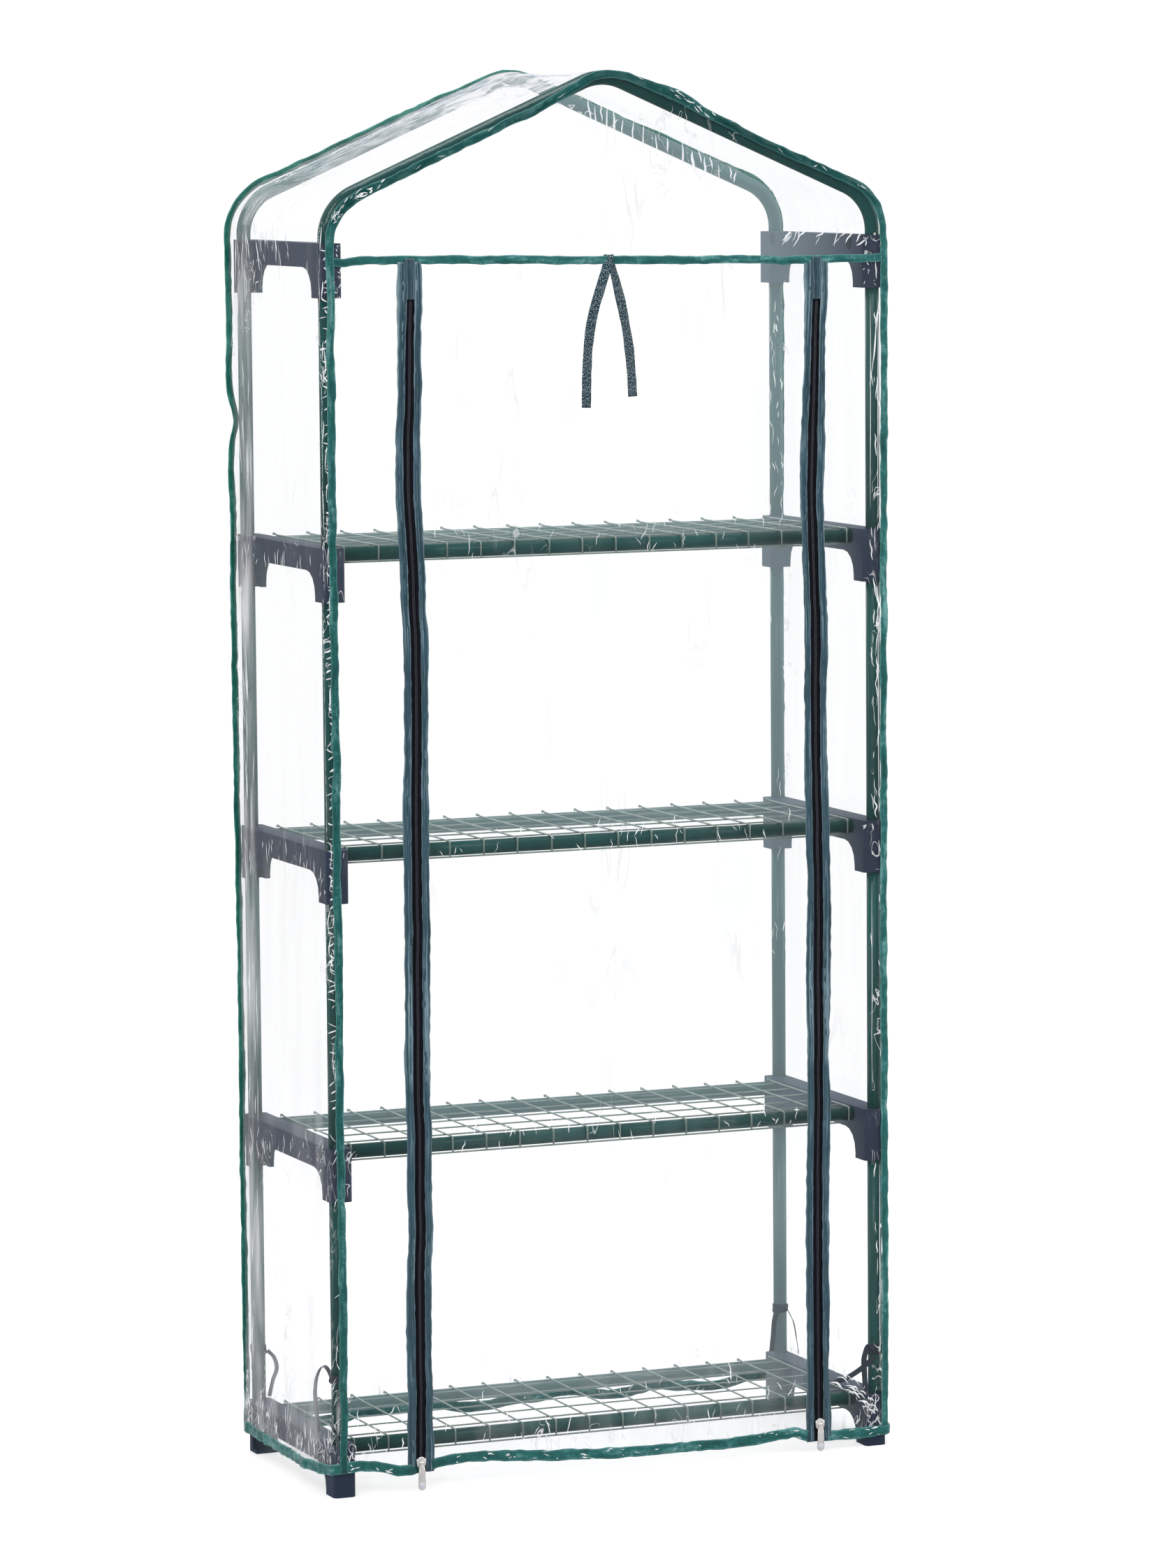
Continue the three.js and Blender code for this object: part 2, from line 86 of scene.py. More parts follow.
def noise2(x, y, seed):
    """Smooth noise from -1 to 1."""
    x, y = np.broadcast_arrays(np.asarray(x, float), np.asarray(y, float))
    i, j = np.floor(x), np.floor(y)
    f, g = x - i, y - j
    f = f * f * f * (f * (f * 6 - 15) + 10)
    g = g * g * g * (g * (g * 6 - 15) + 10)
    a, b = lattice(i, j, seed), lattice(i + 1, j, seed)
    c, d = lattice(i, j + 1, seed), lattice(i + 1, j + 1, seed)
    return ((a * (1 - f) + b * f) * (1 - g) + (c * (1 - f) + d * f) * g) * 2 - 1


def noise1(x, seed):
    return noise2(x, 0.37, seed)


def layered(x, y, seed):
    return noise2(x, y, seed) + 0.5 * noise2(x * 2.03, y * 2.03, seed + 17)


def crests(x, y, seed):
    """Sharp crests at 1 between soft valleys, for gathers."""
    broad = (1 - np.abs(noise2(x, y, seed))) ** 3
    fine = (1 - np.abs(noise2(x * 2.1, y * 2.1, seed + 29))) ** 3
    return (broad + 0.55 * fine) / 1.55


def smooth(start, end, x):
    """0 before start, 1 past end; start may be the larger one."""
    t = np.clip((np.asarray(x, float) - start) / (end - start), 0, 1)
    return t * t * (3 - 2 * t)


def bell(x, centre, width, power=2):
    """1 at the centre, falling to 0; power 4 gives a flat top."""
    return np.exp(-((x - centre) / width) ** power)


def near_hem(z, reach):
    return np.exp(-np.clip(z - 25, 0, None) / reach)


def spline(xs, ys, x):
    xs, ys = np.asarray(xs, float), np.asarray(ys, float)
    slope = np.gradient(ys, xs)
    x = np.clip(np.asarray(x, float), xs[0], xs[-1])
    k = np.clip(np.searchsorted(xs, x) - 1, 0, len(xs) - 2)
    h = xs[k + 1] - xs[k]
    t = (x - xs[k]) / h
    return ((2 * t**3 - 3 * t**2 + 1) * ys[k] + (t**3 - 2 * t**2 + t) * h * slope[k]
            + (-2 * t**3 + 3 * t**2) * ys[k + 1] + (t**3 - t**2) * h * slope[k + 1])


def curve(table, x):
    """Smooth curve through a table of (station, value)."""
    return spline(*zip(*table), x)


# ------------------------------------------------------------------ shader graphs
def srgb(*channels):
    def linear(c):
        c = c / 255
        return c / 12.92 if c <= 0.04045 else ((c + 0.055) / 1.055) ** 2.4
    return (*map(linear, channels), 1.0)


def is_socket(value):
    return isinstance(value, bpy.types.NodeSocket)


class Graph:
    """Adds shader nodes to a tree. A value may be a constant or another node's socket."""

    def __init__(self, tree):
        self.tree = tree
        tree.nodes.clear()

    def put(self, socket, value):
        if is_socket(value):
            self.tree.links.new(value, socket)
        else:
            socket.default_value = value

    def node(self, kind, *by_index, **by_name):
        node = self.tree.nodes.new("ShaderNode" + kind)
        for socket, value in zip(node.inputs, by_index):
            self.put(socket, value)
        for name, value in by_name.items():
            self.put(node.inputs[name.replace("_", " ")], value)
        return node

    def math(self, operation, a, b=0.0, c=0.0, clamp=False):
        node = self.node("Math", a, b, c)
        node.operation = operation
        node.use_clamp = clamp
        return node.outputs[0]

    def add(self, a, b, clamp=False):
        return self.math("ADD", a, b, clamp=clamp)

    def sub(self, a, b, clamp=False):
        return self.math("SUBTRACT", a, b, clamp=clamp)

    def mul(self, a, b):
        return self.math("MULTIPLY", a, b)

    def scale_add(self, value, scale, offset, clamp=False):
        return self.math("MULTIPLY_ADD", value, scale, offset, clamp)

    def weighted(self, *terms):
        """Sum of (socket, weight) pairs."""
        total = self.mul(*terms[0])
        for term in terms[1:]:
            total = self.add(total, self.mul(*term))
        return total

    def attribute(self, name):
        node = self.node("Attribute")
        node.attribute_name = name
        return node.outputs["Fac"]

    def camera_ray(self):
        return self.node("LightPath").outputs["Is Camera Ray"]

    def noise(self, scale=1.0, detail=2.0, rough=0.5, distort=0.0, stretch=(1, 1, 1), vector=None):
        if vector is None:
            vector = self.node("TexCoord").outputs["Object"]
        place = self.node("Mapping", Vector=vector, Scale=stretch).outputs[0]
        return self.node("TexNoise", Vector=place, Scale=scale, Detail=detail, Roughness=rough,
                         Distortion=distort).outputs[0]

    def ramp(self, factor, *stops):
        """stops: (position, colour)."""
        node = self.node("ValToRGB", factor)
        elements = node.color_ramp.elements
        while len(elements) > 1:
            elements.remove(elements[-1])
        elements[0].position, elements[0].color = stops[0]
        for position, color in stops[1:]:
            elements.new(position).color = color
        return node.outputs[0]

    def smooth_range(self, value, low, high):
        node = self.node("MapRange", Value=value, From_Min=low, From_Max=high)
        node.interpolation_type = "SMOOTHSTEP"
        return node.outputs[0]

    def bump(self, height, strength, distance, **normal):
        return self.node("Bump", Height=height, Strength=strength, Distance=distance,
                         **normal).outputs[0]

    def mix_color(self, factor, first, second):
        node = self.node("Mix")
        node.data_type = "RGBA"
        for index, value in ((0, factor), (6, first), (7, second)):
            self.put(node.inputs[index], value)
        return node.outputs[2]

    def mix_shader(self, factor, first, second):
        return self.node("MixShader", factor, first, second).outputs[0]

    def shader(self, kind, **inputs):
        return self.node(kind, **inputs).outputs[0]

    def principled(self, color, roughness, metallic=0.0, coat=0.0, coat_rough=0.1, specular=0.5,
                   sheen=0.0, **normal):
        return self.shader("BsdfPrincipled", Base_Color=color, Roughness=roughness,
                           Metallic=metallic, Coat_Weight=coat, Coat_Roughness=coat_rough,
                           Specular_IOR_Level=specular, Sheen_Weight=sheen, **normal)


class Material(Graph):
    def __init__(self, name):
        self.material = bpy.data.materials.new(name)
        self.material.use_nodes = True
        super().__init__(self.material.node_tree)
        self.output = self.node("OutputMaterial")

    def finish(self, shader, haze=0.0):
        """haze: how strongly the cover's milkiness pales this material, as a painted glow: white
        emission mixed in for the camera.
        """
        if haze > 0:
            group = self.node("Group")
            group.node_tree = PAINTED_HAZE_GLOW
            self.put(group.inputs["Shader"], shader)
            self.put(group.inputs["Share"], haze)
            shader = group.outputs[0]
        self.put(self.output.inputs["Surface"], shader)
        return self.material


def painted_haze_glow_group():
    """Painted glow: for the camera, mixes a pale blue-white emission over what stands inside the
    cover, more so the longer the line of sight runs inside it and the higher it stands.
    """
    tree = bpy.data.node_groups.new("film_haze_painted_glow", "ShaderNodeTree")
    for name, direction, kind in (("Shader", "INPUT", "Shader"), ("Share", "INPUT", "Float"),
                                  ("Shader", "OUTPUT", "Shader")):
        tree.interface.new_socket(name, in_out=direction, socket_type="NodeSocket" + kind)
    g = Graph(tree)
    given, result = tree.nodes.new("NodeGroupInput"), tree.nodes.new("NodeGroupOutput")
    geometry = g.node("NewGeometry")
    position = g.node("SeparateXYZ", geometry.outputs["Position"]).outputs
    incoming = g.node("SeparateXYZ", geometry.outputs["Incoming"]).outputs

    def math2(operation, a, b=0.0):
        node = g.node("Math", a, b)
        node.operation = operation
        return node.outputs[0]

    def way_out(axis, half):
        """Distance to the cover's wall at +-half metres on one axis."""
        signed = math2("MULTIPLY", position[axis], math2("SIGN", incoming[axis]))
        speed = math2("MAXIMUM", math2("ABSOLUTE", incoming[axis]), 1e-4)
        return math2("DIVIDE", math2("SUBTRACT", half, signed), speed)

    path = math2("MAXIMUM", math2("MINIMUM", way_out(0, 0.345), way_out(1, 0.146)), 0.0)
    share = math2("SUBTRACT", 1.0, math2("EXPONENT", math2("MULTIPLY", path, -3.4)))
    share = math2("ADD", math2("MULTIPLY", share, 0.34), 0.004)
    by_height = math2("ADD", math2("MULTIPLY", position[2], 0.30), 0.66)
    share = math2("MULTIPLY", share, by_height)
    share = math2("MULTIPLY", math2("MULTIPLY", share, given.outputs["Share"]), g.camera_ray())
    # painted glow standing in for the light the milky film scatters
    white = g.shader("Emission", Color=(0.70, 0.87, 0.93, 1))
    g.put(result.inputs[0], g.mix_shader(share, given.outputs["Shader"], white))
    return tree


# ------------------------------------------------------------------ materials
def tube_material(name, haze, tone, coat, specular):
    """tone multiplies the paint colour; below 1 it paints shade on a darker copy."""
    m = Material(name)
    color = m.ramp(m.noise(scale=9, detail=3, stretch=(1, 1, 0.6)),
                   (0.3, srgb(4 * tone, 62 * tone, 59 * tone)),
                   (0.7, srgb(11 * tone, 83 * tone, 79 * tone)))
    rough = m.scale_add(m.noise(scale=60, detail=4, rough=0.65), 0.16, 0.16)
    peel = m.bump(m.noise(scale=900), strength=0.05, distance=0.0003)
    return m.finish(m.principled(color, rough, Normal=peel, coat=coat, coat_rough=0.05,
                                 specular=specular), haze)


def bracket_material():
    m = Material("moulded_slate_plastic")
    tone = m.noise(scale=14, detail=4, rough=0.6)
    color = m.ramp(tone, (0.25, srgb(34, 45, 64)), (0.75, srgb(47, 58, 79)))
    grain = m.noise(scale=1400, detail=3, rough=0.7)
    flow = m.noise(scale=70, detail=3, distort=0.6, stretch=(1, 0.25, 1))
    normal = m.bump(flow, strength=0.08, distance=0.001)
    normal = m.bump(grain, strength=0.16, distance=0.0003, Normal=normal)
    return m.finish(m.principled(color, m.scale_add(tone, 0.2, 0.42), Normal=normal,
                                 specular=0.14), haze=1.0)


def wire_material():
    m = Material("coated_shelf_wire")
    color = m.ramp(m.noise(scale=45, detail=3, rough=0.6),
                   (0.3, srgb(104, 122, 114)), (0.7, srgb(138, 154, 146)))
    rough = m.scale_add(m.noise(scale=300), 0.25, 0.25)
    normal = m.bump(m.noise(scale=1200), strength=0.15, distance=0.0003)
    return m.finish(m.principled(color, rough, Normal=normal, metallic=0.45), haze=1.0)


def film_material(name, seed, veil, soft, tall):
    """Clear sheet with soft folds and sparse creases, each a painted highlight line beside a painted
    shade line.

    veil is the milkiness everywhere, soft that of the folds, tall the upright squeeze of curls.
    The 'crinkle' attribute sets how creased the sheet is, in its bumps and its painted lines, 'milk'
    adds milkiness.
    """
    m = Material(name)
    shift = m.node("VectorMath", m.node("TexCoord").outputs["Object"],
                   (seed * 3.17, seed * 1.31, seed * 2.11))
    shift.operation = "ADD"
    at = shift.outputs[0]
    amount = m.math("MINIMUM", m.attribute("crinkle"), 1.4)
    # patterns, from broad to hair-fine, and two masks that break the creases up
    big = m.noise(scale=7, distort=0.5, stretch=(1, 1, 0.35), vector=at)
    fold = m.noise(scale=30, distort=0.7, stretch=(1, 1, 0.16), vector=at)
    curl = m.noise(scale=62, detail=1.2, distort=1.1, stretch=(1, 1, tall), vector=at)
    hair = m.noise(scale=150, detail=1.5, distort=0.8, stretch=(1, 1, 0.22), vector=at)
    curl_patches = m.noise(scale=27, detail=1.5, distort=0.3, stretch=(1, 1, 0.7), vector=at)
    fold_patches = m.noise(scale=11, distort=0.3, stretch=(1, 1, 0.4), vector=at)

    def line(pattern, level, width):
        """Thin line where the pattern crosses a level."""
        gap = m.math("ABSOLUTE", m.sub(pattern, level))
        return m.sub(1.0, m.math("DIVIDE", gap, width), clamp=True)

    def gate(value, low, width):
        high = m.add(low, width) if is_socket(low) else low + width
        return m.smooth_range(value, low, high)

    curl_gate = gate(curl_patches, m.scale_add(amount, -0.27, 0.70), 0.07)
    curl_gate = m.mul(curl_gate, gate(amount, 0.20, 0.25))
    fold_gate = gate(fold_patches, m.scale_add(amount, -0.22, 0.66), 0.12)
    hair_gate = gate(amount, 0.62, 0.3)
    curl_width = m.scale_add(amount, 0.018, 0.006)
    fold_width = m.scale_add(amount, 0.008, 0.007)
    curl_light = m.mul(line(curl, 0.5, curl_width), curl_gate)
    curl_dark = m.mul(line(curl, 0.535, curl_width), curl_gate)
    fold_light = m.mul(line(fold, 0.5, fold_width), fold_gate)
    fold_dark = m.mul(line(fold, 0.515, 0.018), fold_gate)
    hair_light = m.mul(line(hair, 0.5, 0.04), hair_gate)
    hair_dark = m.mul(line(hair, 0.56, 0.05), hair_gate)

    height = m.weighted((big, 2.0), (fold, 0.6), (m.mul(curl, amount), 0.28))
    glossy = m.shader("BsdfGlossy", Roughness=0.06,
                      Normal=m.bump(height, strength=0.6, distance=0.006))
    # what the sheet holds back of the light passing through: painted shade lines beside the creases,
    # a little more in the big folds
    held = m.weighted((curl_dark, 0.34), (fold_dark, 0.20), (hair_dark, 0.20))
    held = m.add(held, m.mul(gate(big, 0.52, 0.3), 0.03), clamp=True)
    tint = m.ramp(held, (0.0, (0.985, 0.988, 0.992, 1)), (1.0, (0.30, 0.34, 0.40, 1)))
    clear = m.shader("BsdfTransparent", Color=tint)
    white = (0.97, 0.975, 0.985, 1)
    milk = m.mix_shader(0.5, m.shader("BsdfDiffuse", Color=white),
                        m.shader("BsdfTranslucent", Color=white))
    # how much of the sheet is white rather than clear: painted highlight on the crease lines,
    # milkiness in the folds and where 'milk' is set
    share = m.weighted((curl_light, 1.0), (fold_light, 0.55), (hair_light, 0.40))
    ghost = m.mul(gate(fold, 0.50, 0.22), m.mul(m.math("MINIMUM", amount, 1.0), soft))
    cloud = m.mul(m.attribute("milk"), m.scale_add(gate(fold, 0.36, 0.3), 0.75, 0.35))
    share = m.add(m.add(share, m.add(ghost, cloud)), veil)
    share = m.math("MINIMUM", share, 0.93)
    # painted highlight: the crease lines glow white for the camera, standing in for the lamps they
    # would return
    lines = m.add(curl_light, m.mul(fold_light, 0.6), clamp=True)
    glint = m.mix_shader(m.mul(m.mul(lines, 0.75), m.camera_ray()), milk,
                         m.shader("Emission", Color=(0.97, 0.98, 1.0, 1), Strength=0.9))
    fresnel = m.shader("Fresnel", IOR=1.42)
    mirror = m.math("MINIMUM", m.mul(fresnel, 0.55), 0.055)
    return m.finish(m.mix_shader(mirror, m.mix_shader(share, clear, glint), glossy))


def binding_material(name, dark, light, pale, roughness=0.30, haze=0.0, stitch=True, fine=1.0,
                     folds=0.0, coat=0.5, specular=0.4):
    """Folded tape with gathers across it and a pale edge, a painted highlight.

    fine weights the small gathers, folds the lengthwise ones, and stitch adds a dashed line.
    A per-vertex attribute paints shade on it: a darker colour, less coat and less specular.
    """
    m = Material(name)
    uv = m.node("UVMap").outputs[0]
    across, length = m.node("SeparateXYZ", uv).outputs[:2]
    gather = m.noise(detail=3, rough=0.6, distort=0.8, stretch=(1.4, 130, 1), vector=uv)
    soft = m.noise(distort=0.5, stretch=(0.9, 26, 1), vector=uv)
    slow = m.noise(distort=0.2, stretch=(0.5, 6, 1), vector=uv)
    tone = m.weighted((gather, 0.28 * fine), (soft, 0.42), (slow, 1.0 - 0.42 - 0.28 * fine))
    if folds:
        run = m.noise(rough=0.55, distort=0.6, stretch=(2.6, 6, 1), vector=uv)
        tone = m.weighted((tone, 1.0 - folds), (run, folds))
    # tone partly the tape's own, partly painted highlight and shade on its gathers and folds
    color = m.ramp(tone, (0.36, dark), (0.51, light), (0.66, pale))
    # painted shade: darker and duller where the attribute is set
    painted_shade = m.attribute("painted_shade")
    color = m.mix_color(painted_shade, color, (dark[0] * 0.5, dark[1] * 0.5, dark[2] * 0.55, 1))
    # painted highlight: paler towards both edges
    from_middle = m.math("ABSOLUTE", m.sub(m.mul(across, 2.0), 1.0))
    color = m.mix_color(m.mul(m.math("POWER", from_middle, 5.0), 0.45), color, pale)
    height = m.weighted((gather, 0.55 * fine), (soft, 0.9))
    if stitch:
        dash = m.math("LESS_THAN", m.math("FRACT", m.mul(length, 280.0)), 0.62)
        row = m.math("LESS_THAN", m.math("ABSOLUTE", m.sub(across, 0.26)), 0.035)
        thread = (dark[0] * 0.3, dark[1] * 0.3, dark[2] * 0.3, 1)
        color = m.mix_color(m.mul(m.mul(dash, row), 0.6), color, thread)
        height = m.sub(height, m.mul(row, 0.5))
    normal = m.bump(height, strength=0.55, distance=0.0012)
    return m.finish(m.principled(color, roughness, Normal=normal, coat_rough=0.15,
                                 coat=m.scale_add(painted_shade, -0.85 * coat, coat),
                                 specular=m.scale_add(painted_shade, -0.85 * specular, specular)), haze)


def weave_material(name, dark, light, threads, roughness=0.75, specular=0.4, haze=0.0, speck=0.0,
                   sheen=0.0):
    """threads sets the pitch along the tape, speck the strength of pale flecks."""
    m = Material(name)
    uv = m.node("UVMap").outputs[0]
    place = m.node("Mapping", Vector=uv, Scale=(6, threads, 1)).outputs[0]
    wave = m.node("TexWave", Vector=place, Scale=1.0, Distortion=1.0)
    wave.bands_direction = "DIAGONAL"
    blur = m.noise(detail=3, rough=0.7, stretch=(5, 150, 1), vector=uv)
    weave = m.weighted((wave.outputs["Fac"], 0.5), (blur, 0.5))
    color = m.ramp(weave, (0.25, dark), (0.75, light))
    if speck:
        fleck = m.noise(detail=1, stretch=(14, 700, 1), vector=uv)
        color = m.mix_color(m.mul(m.math("GREATER_THAN", fleck, 0.60), speck), color,
                            srgb(196, 212, 216))
    normal = m.bump(weave, strength=0.5, distance=0.0006)
    return m.finish(m.principled(color, roughness, Normal=normal, sheen=sheen,
                                 specular=specular), haze)


def nickel_material():
    m = Material("nickel_plate")
    light = srgb(250, 247, 243)
    tone = m.noise(scale=260, detail=3, rough=0.6, stretch=(1, 1, 0.3))
    color = m.ramp(tone, (0.3, (*(0.8 * c for c in light[:3]), 1)), (0.7, light))
    normal = m.bump(m.noise(scale=1500), strength=0.06, distance=0.0003)
    return m.finish(m.principled(color, m.scale_add(tone, 0.2, 0.22), Normal=normal,
                                 metallic=0.8))


def insert_material():
    m = Material("pull_end_clear")
    color = m.ramp(m.noise(scale=400), (0.3, srgb(205, 210, 222)), (0.7, srgb(232, 235, 244)))
    return m.finish(m.principled(color, 0.18, coat=0.6))


def painted_glint_material():
    # painted highlight: white crease glints that glow for the camera
    m = Material("film_crease_glint")
    tone = m.noise(scale=120)
    color = m.ramp(tone, (0.3, (0.86, 0.90, 0.93, 1)), (0.7, (0.97, 0.98, 1.0, 1)))
    glow = m.shader("Emission", Color=(0.96, 0.98, 1.0, 1), Strength=1.0)
    lit = m.mix_shader(m.mul(m.camera_ray(), 0.8), m.principled(color, 0.12, coat=0.5), glow)
    cover = m.scale_add(tone, 0.6, 0.60, clamp=True)
    return m.finish(m.mix_shader(cover, m.shader("BsdfTransparent"), lit))


def painted_fold_shade_material():
    """Painted shade: the shaded flank of a fold, holding back part of the light."""
    m = Material("film_fold_shade")
    tint = m.ramp(m.noise(scale=90), (0.3, (0.62, 0.68, 0.75, 1)), (0.7, (0.86, 0.89, 0.93, 1)))
    return m.finish(m.mix_shader(0.06, m.shader("BsdfTransparent", Color=tint),
                                 m.shader("BsdfGlossy", Roughness=0.2)))


PAINTED_HAZE_GLOW = painted_haze_glow_group()
TUBE = tube_material("green_powder_coat", haze=1.0, tone=1.0, coat=0.08, specular=0.22)
BRACKET = bracket_material()
WIRE = wire_material()
# darker, less glossy copy for the front tubes: painted shade
TUBE_FRONT_SHADED = tube_material("green_powder_coat_front_shaded", haze=0.35, tone=0.93, coat=0.04,
                           specular=0.09)
FILM_FRONT = film_material("clear_film_front", seed=1, veil=0.004, soft=0.04, tall=0.5)
FILM_DOOR = film_material("clear_film_door", seed=2, veil=0.004, soft=0.03, tall=0.5)
FILM_SIDES = film_material("clear_film_roof_and_sides", seed=3, veil=0.004, soft=0.10, tall=0.55)
FILM_BACK = film_material("clear_film_back", seed=4, veil=0.006, soft=0.04, tall=0.5)
BINDING = binding_material("green_binding_tape", srgb(4, 72, 68), srgb(24, 106, 102),
                           srgb(116, 174, 172), coat=0.32, specular=0.3)
BINDING_REAR = binding_material("green_binding_tape_rear", srgb(4, 84, 72), srgb(20, 112, 98),
                                srgb(80, 158, 144), haze=0.15)
ZIP_SIDE = binding_material("zip_side_tape_teal", srgb(15, 46, 58), srgb(42, 80, 94),
                            srgb(140, 166, 177), roughness=0.34, stitch=False, fine=0.25,
                            folds=0.6, coat=0.45, specular=0.35)
ZIP_TAPE = weave_material("zip_tape_black", srgb(12, 13, 21), srgb(25, 27, 38), threads=1100,
                          roughness=0.85, specular=0.15)
COIL = weave_material("zip_coil_black", srgb(16, 16, 24), srgb(54, 54, 66), threads=700,
                      roughness=0.45, specular=0.35)
TIE = weave_material("woven_tie_teal", srgb(17, 41, 53), srgb(43, 72, 86), threads=1400,
                     speck=0.9, specular=0.2)
TIE_INSIDE = weave_material("woven_tie_slate", srgb(26, 38, 48), srgb(48, 62, 74), threads=1400,
                            haze=0.45, sheen=0.05)
NICKEL = nickel_material()
INSERT = insert_material()


# ------------------------------------------------------------------ mesh helpers
def points(x, y, z):
    return np.stack(np.broadcast_arrays(x, y, z), -1)


def build(name, verts, faces, materials, slot, body=ROOT, stands_for=(), uv=None,
          attributes=None, material_ids=None):
    mesh = bpy.data.meshes.new(name)
    verts = np.asarray(verts, float) / 1000.0
    mesh.from_pydata(verts.tolist(), [], [tuple(int(i) for i in face) for face in faces])
    mesh.update()
    for material in materials:
        mesh.materials.append(material)
    if material_ids is not None:
        mesh.polygons.foreach_set("material_index", np.asarray(material_ids, np.int32))
    mesh.polygons.foreach_set("use_smooth", np.full(len(mesh.polygons), True))
    if uv is not None:
        layer = mesh.uv_layers.new(name="UVMap")
        corner_vert = np.zeros(len(mesh.loops), np.int32)
        mesh.loops.foreach_get("vertex_index", corner_vert)
        layer.data.foreach_set("uv", np.asarray(uv, np.float32)[corner_vert].ravel())
    for key, values in (attributes or {}).items():
        attribute = mesh.attributes.new(key, "FLOAT", "POINT")
        attribute.data.foreach_set("value", np.asarray(values, np.float32).ravel())
    obj = bpy.data.objects.new(name, mesh)
    bpy.context.scene.collection.objects.link(obj)
    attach(obj, body)
    if stands_for:
        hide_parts(*stands_for)
    return obj


class Bag:
    """Gathers several shells into one mesh."""

    def __init__(self):
        self.verts, self.faces, self.uv, self.values, self.material_ids = [], [], [], [], []
        self.count = 0

    def add(self, verts, faces, uv=None, values=None, material=0):
        verts = np.asarray(verts, float).reshape(-1, 3)
        self.verts.append(verts)
        self.uv.append(np.zeros((len(verts), 2)) if uv is None else uv)
        self.values.append(np.zeros(len(verts)) if values is None else np.ravel(values))
        for face in faces:
            self.faces.append(tuple(int(i) + self.count for i in face))
            self.material_ids.append(material)
        self.count += len(verts)

    def out(self, name, materials, slot, attribute=None, **options):
        values = {attribute: np.concatenate(self.values)} if attribute else None
        return build(name, np.concatenate(self.verts), self.faces, materials, slot,
                     uv=np.concatenate(self.uv), attributes=values,
                     material_ids=self.material_ids, **options)


def build_shell(name, shell, material, slot, values=None, **options):
    bag = Bag()
    bag.add(*shell, values=values)
    return bag.out(name, [material], slot, **options)


def loft(sections, caps=True):
    """Joins closed rings, N x M x 3. Returns vertices, faces and UVs (v in metres along)."""
    sections = np.asarray(sections, float)
    rings, size = sections.shape[:2]
    faces = []
    for i in range(rings - 1):
        a, b = i * size, (i + 1) * size
        for j in range(size):
            k = (j + 1) % size
            faces.append((a + j, a + k, b + k, b + j))
    if caps:
        faces.append(tuple(range(size))[::-1])
        faces.append(tuple((rings - 1) * size + j for j in range(size)))
    length = distances(sections.mean(1)) / 1000.0
    u = np.abs(np.arange(size) / size * 2 - 1)
    return sections.reshape(-1, 3), faces, np.stack([np.tile(u, rings), np.repeat(length, size)], 1)


def distances(path):
    """Distance from the start to each point."""
    return np.concatenate([[0], np.cumsum(np.linalg.norm(np.diff(path, axis=0), axis=1))])


def unit(vectors, tiny=1e-12):
    return vectors / (np.linalg.norm(vectors, axis=1)[:, None] + tiny)


def ring_directions(path, count):
    """Unit vectors round a path, without twist: stations x count x 3."""
    tangents = unit(np.gradient(path, axis=0))
    up = np.array([0, 0, 1.0]) if abs(tangents[0][2]) < 0.9 else np.array([0, 1.0, 0])
    across = np.cross(up, tangents[0])
    across /= np.linalg.norm(across)
    first = []
    for tangent in tangents:
        across = across - tangent * (across @ tangent)
        across /= np.linalg.norm(across)
        first.append(across)
    first = np.array(first)
    second = np.cross(tangents, first)
    angle = (np.arange(count) * 2 * math.pi / count)[None, :, None]
    return first[:, None, :] * np.cos(angle) + second[:, None, :] * np.sin(angle)


def rod(path, radius, count, caps=True):
    path = np.asarray(path, float)
    return loft(path[:, None, :] + radius * ring_directions(path, count), caps)


def pipe(path, count=40):
    """Hollow frame tube: outer skin, inner skin and the two end rims."""
    path = np.asarray(path, float)
    directions = ring_directions(path, count)
    outer, inner = path[:, None, :] + TUBE_R * directions, path[:, None, :] + BORE_R * directions
    verts = np.concatenate([outer.reshape(-1, 3), inner.reshape(-1, 3)])
    faces = []
    stations = len(path)
    inside = stations * count
    for s in range(stations - 1):
        a, b = s * count, (s + 1) * count
        for j in range(count):
            k = (j + 1) % count
            faces.append((a + j, a + k, b + k, b + j))
            faces.append((inside + a + k, inside + a + j, inside + b + j, inside + b + k))
    end = (stations - 1) * count
    for j in range(count):
        k = (j + 1) % count
        faces.append((k, j, inside + j, inside + k))
        faces.append((end + j, end + k, inside + end + k, inside + end + j))
    return verts, faces


def straight(start, end, count=2):
    start, end = np.array(start), np.array(end)
    return [start + (end - start) * k / (count - 1) for k in range(count)]


def resample(path, step):
    d = distances(path)
    at = np.linspace(0, d[-1], max(2, int(round(d[-1] / step)) + 1))
    return np.stack([np.interp(at, d, path[:, k]) for k in range(3)], 1)


def smooth_path(control, count):
    """Smooth path through 2-D or 3-D control points."""
    control = np.asarray(control, float)
    d = distances(control)
    at = np.linspace(0, d[-1], count)
    return np.stack([spline(d, column, at) for column in control.T], 1)


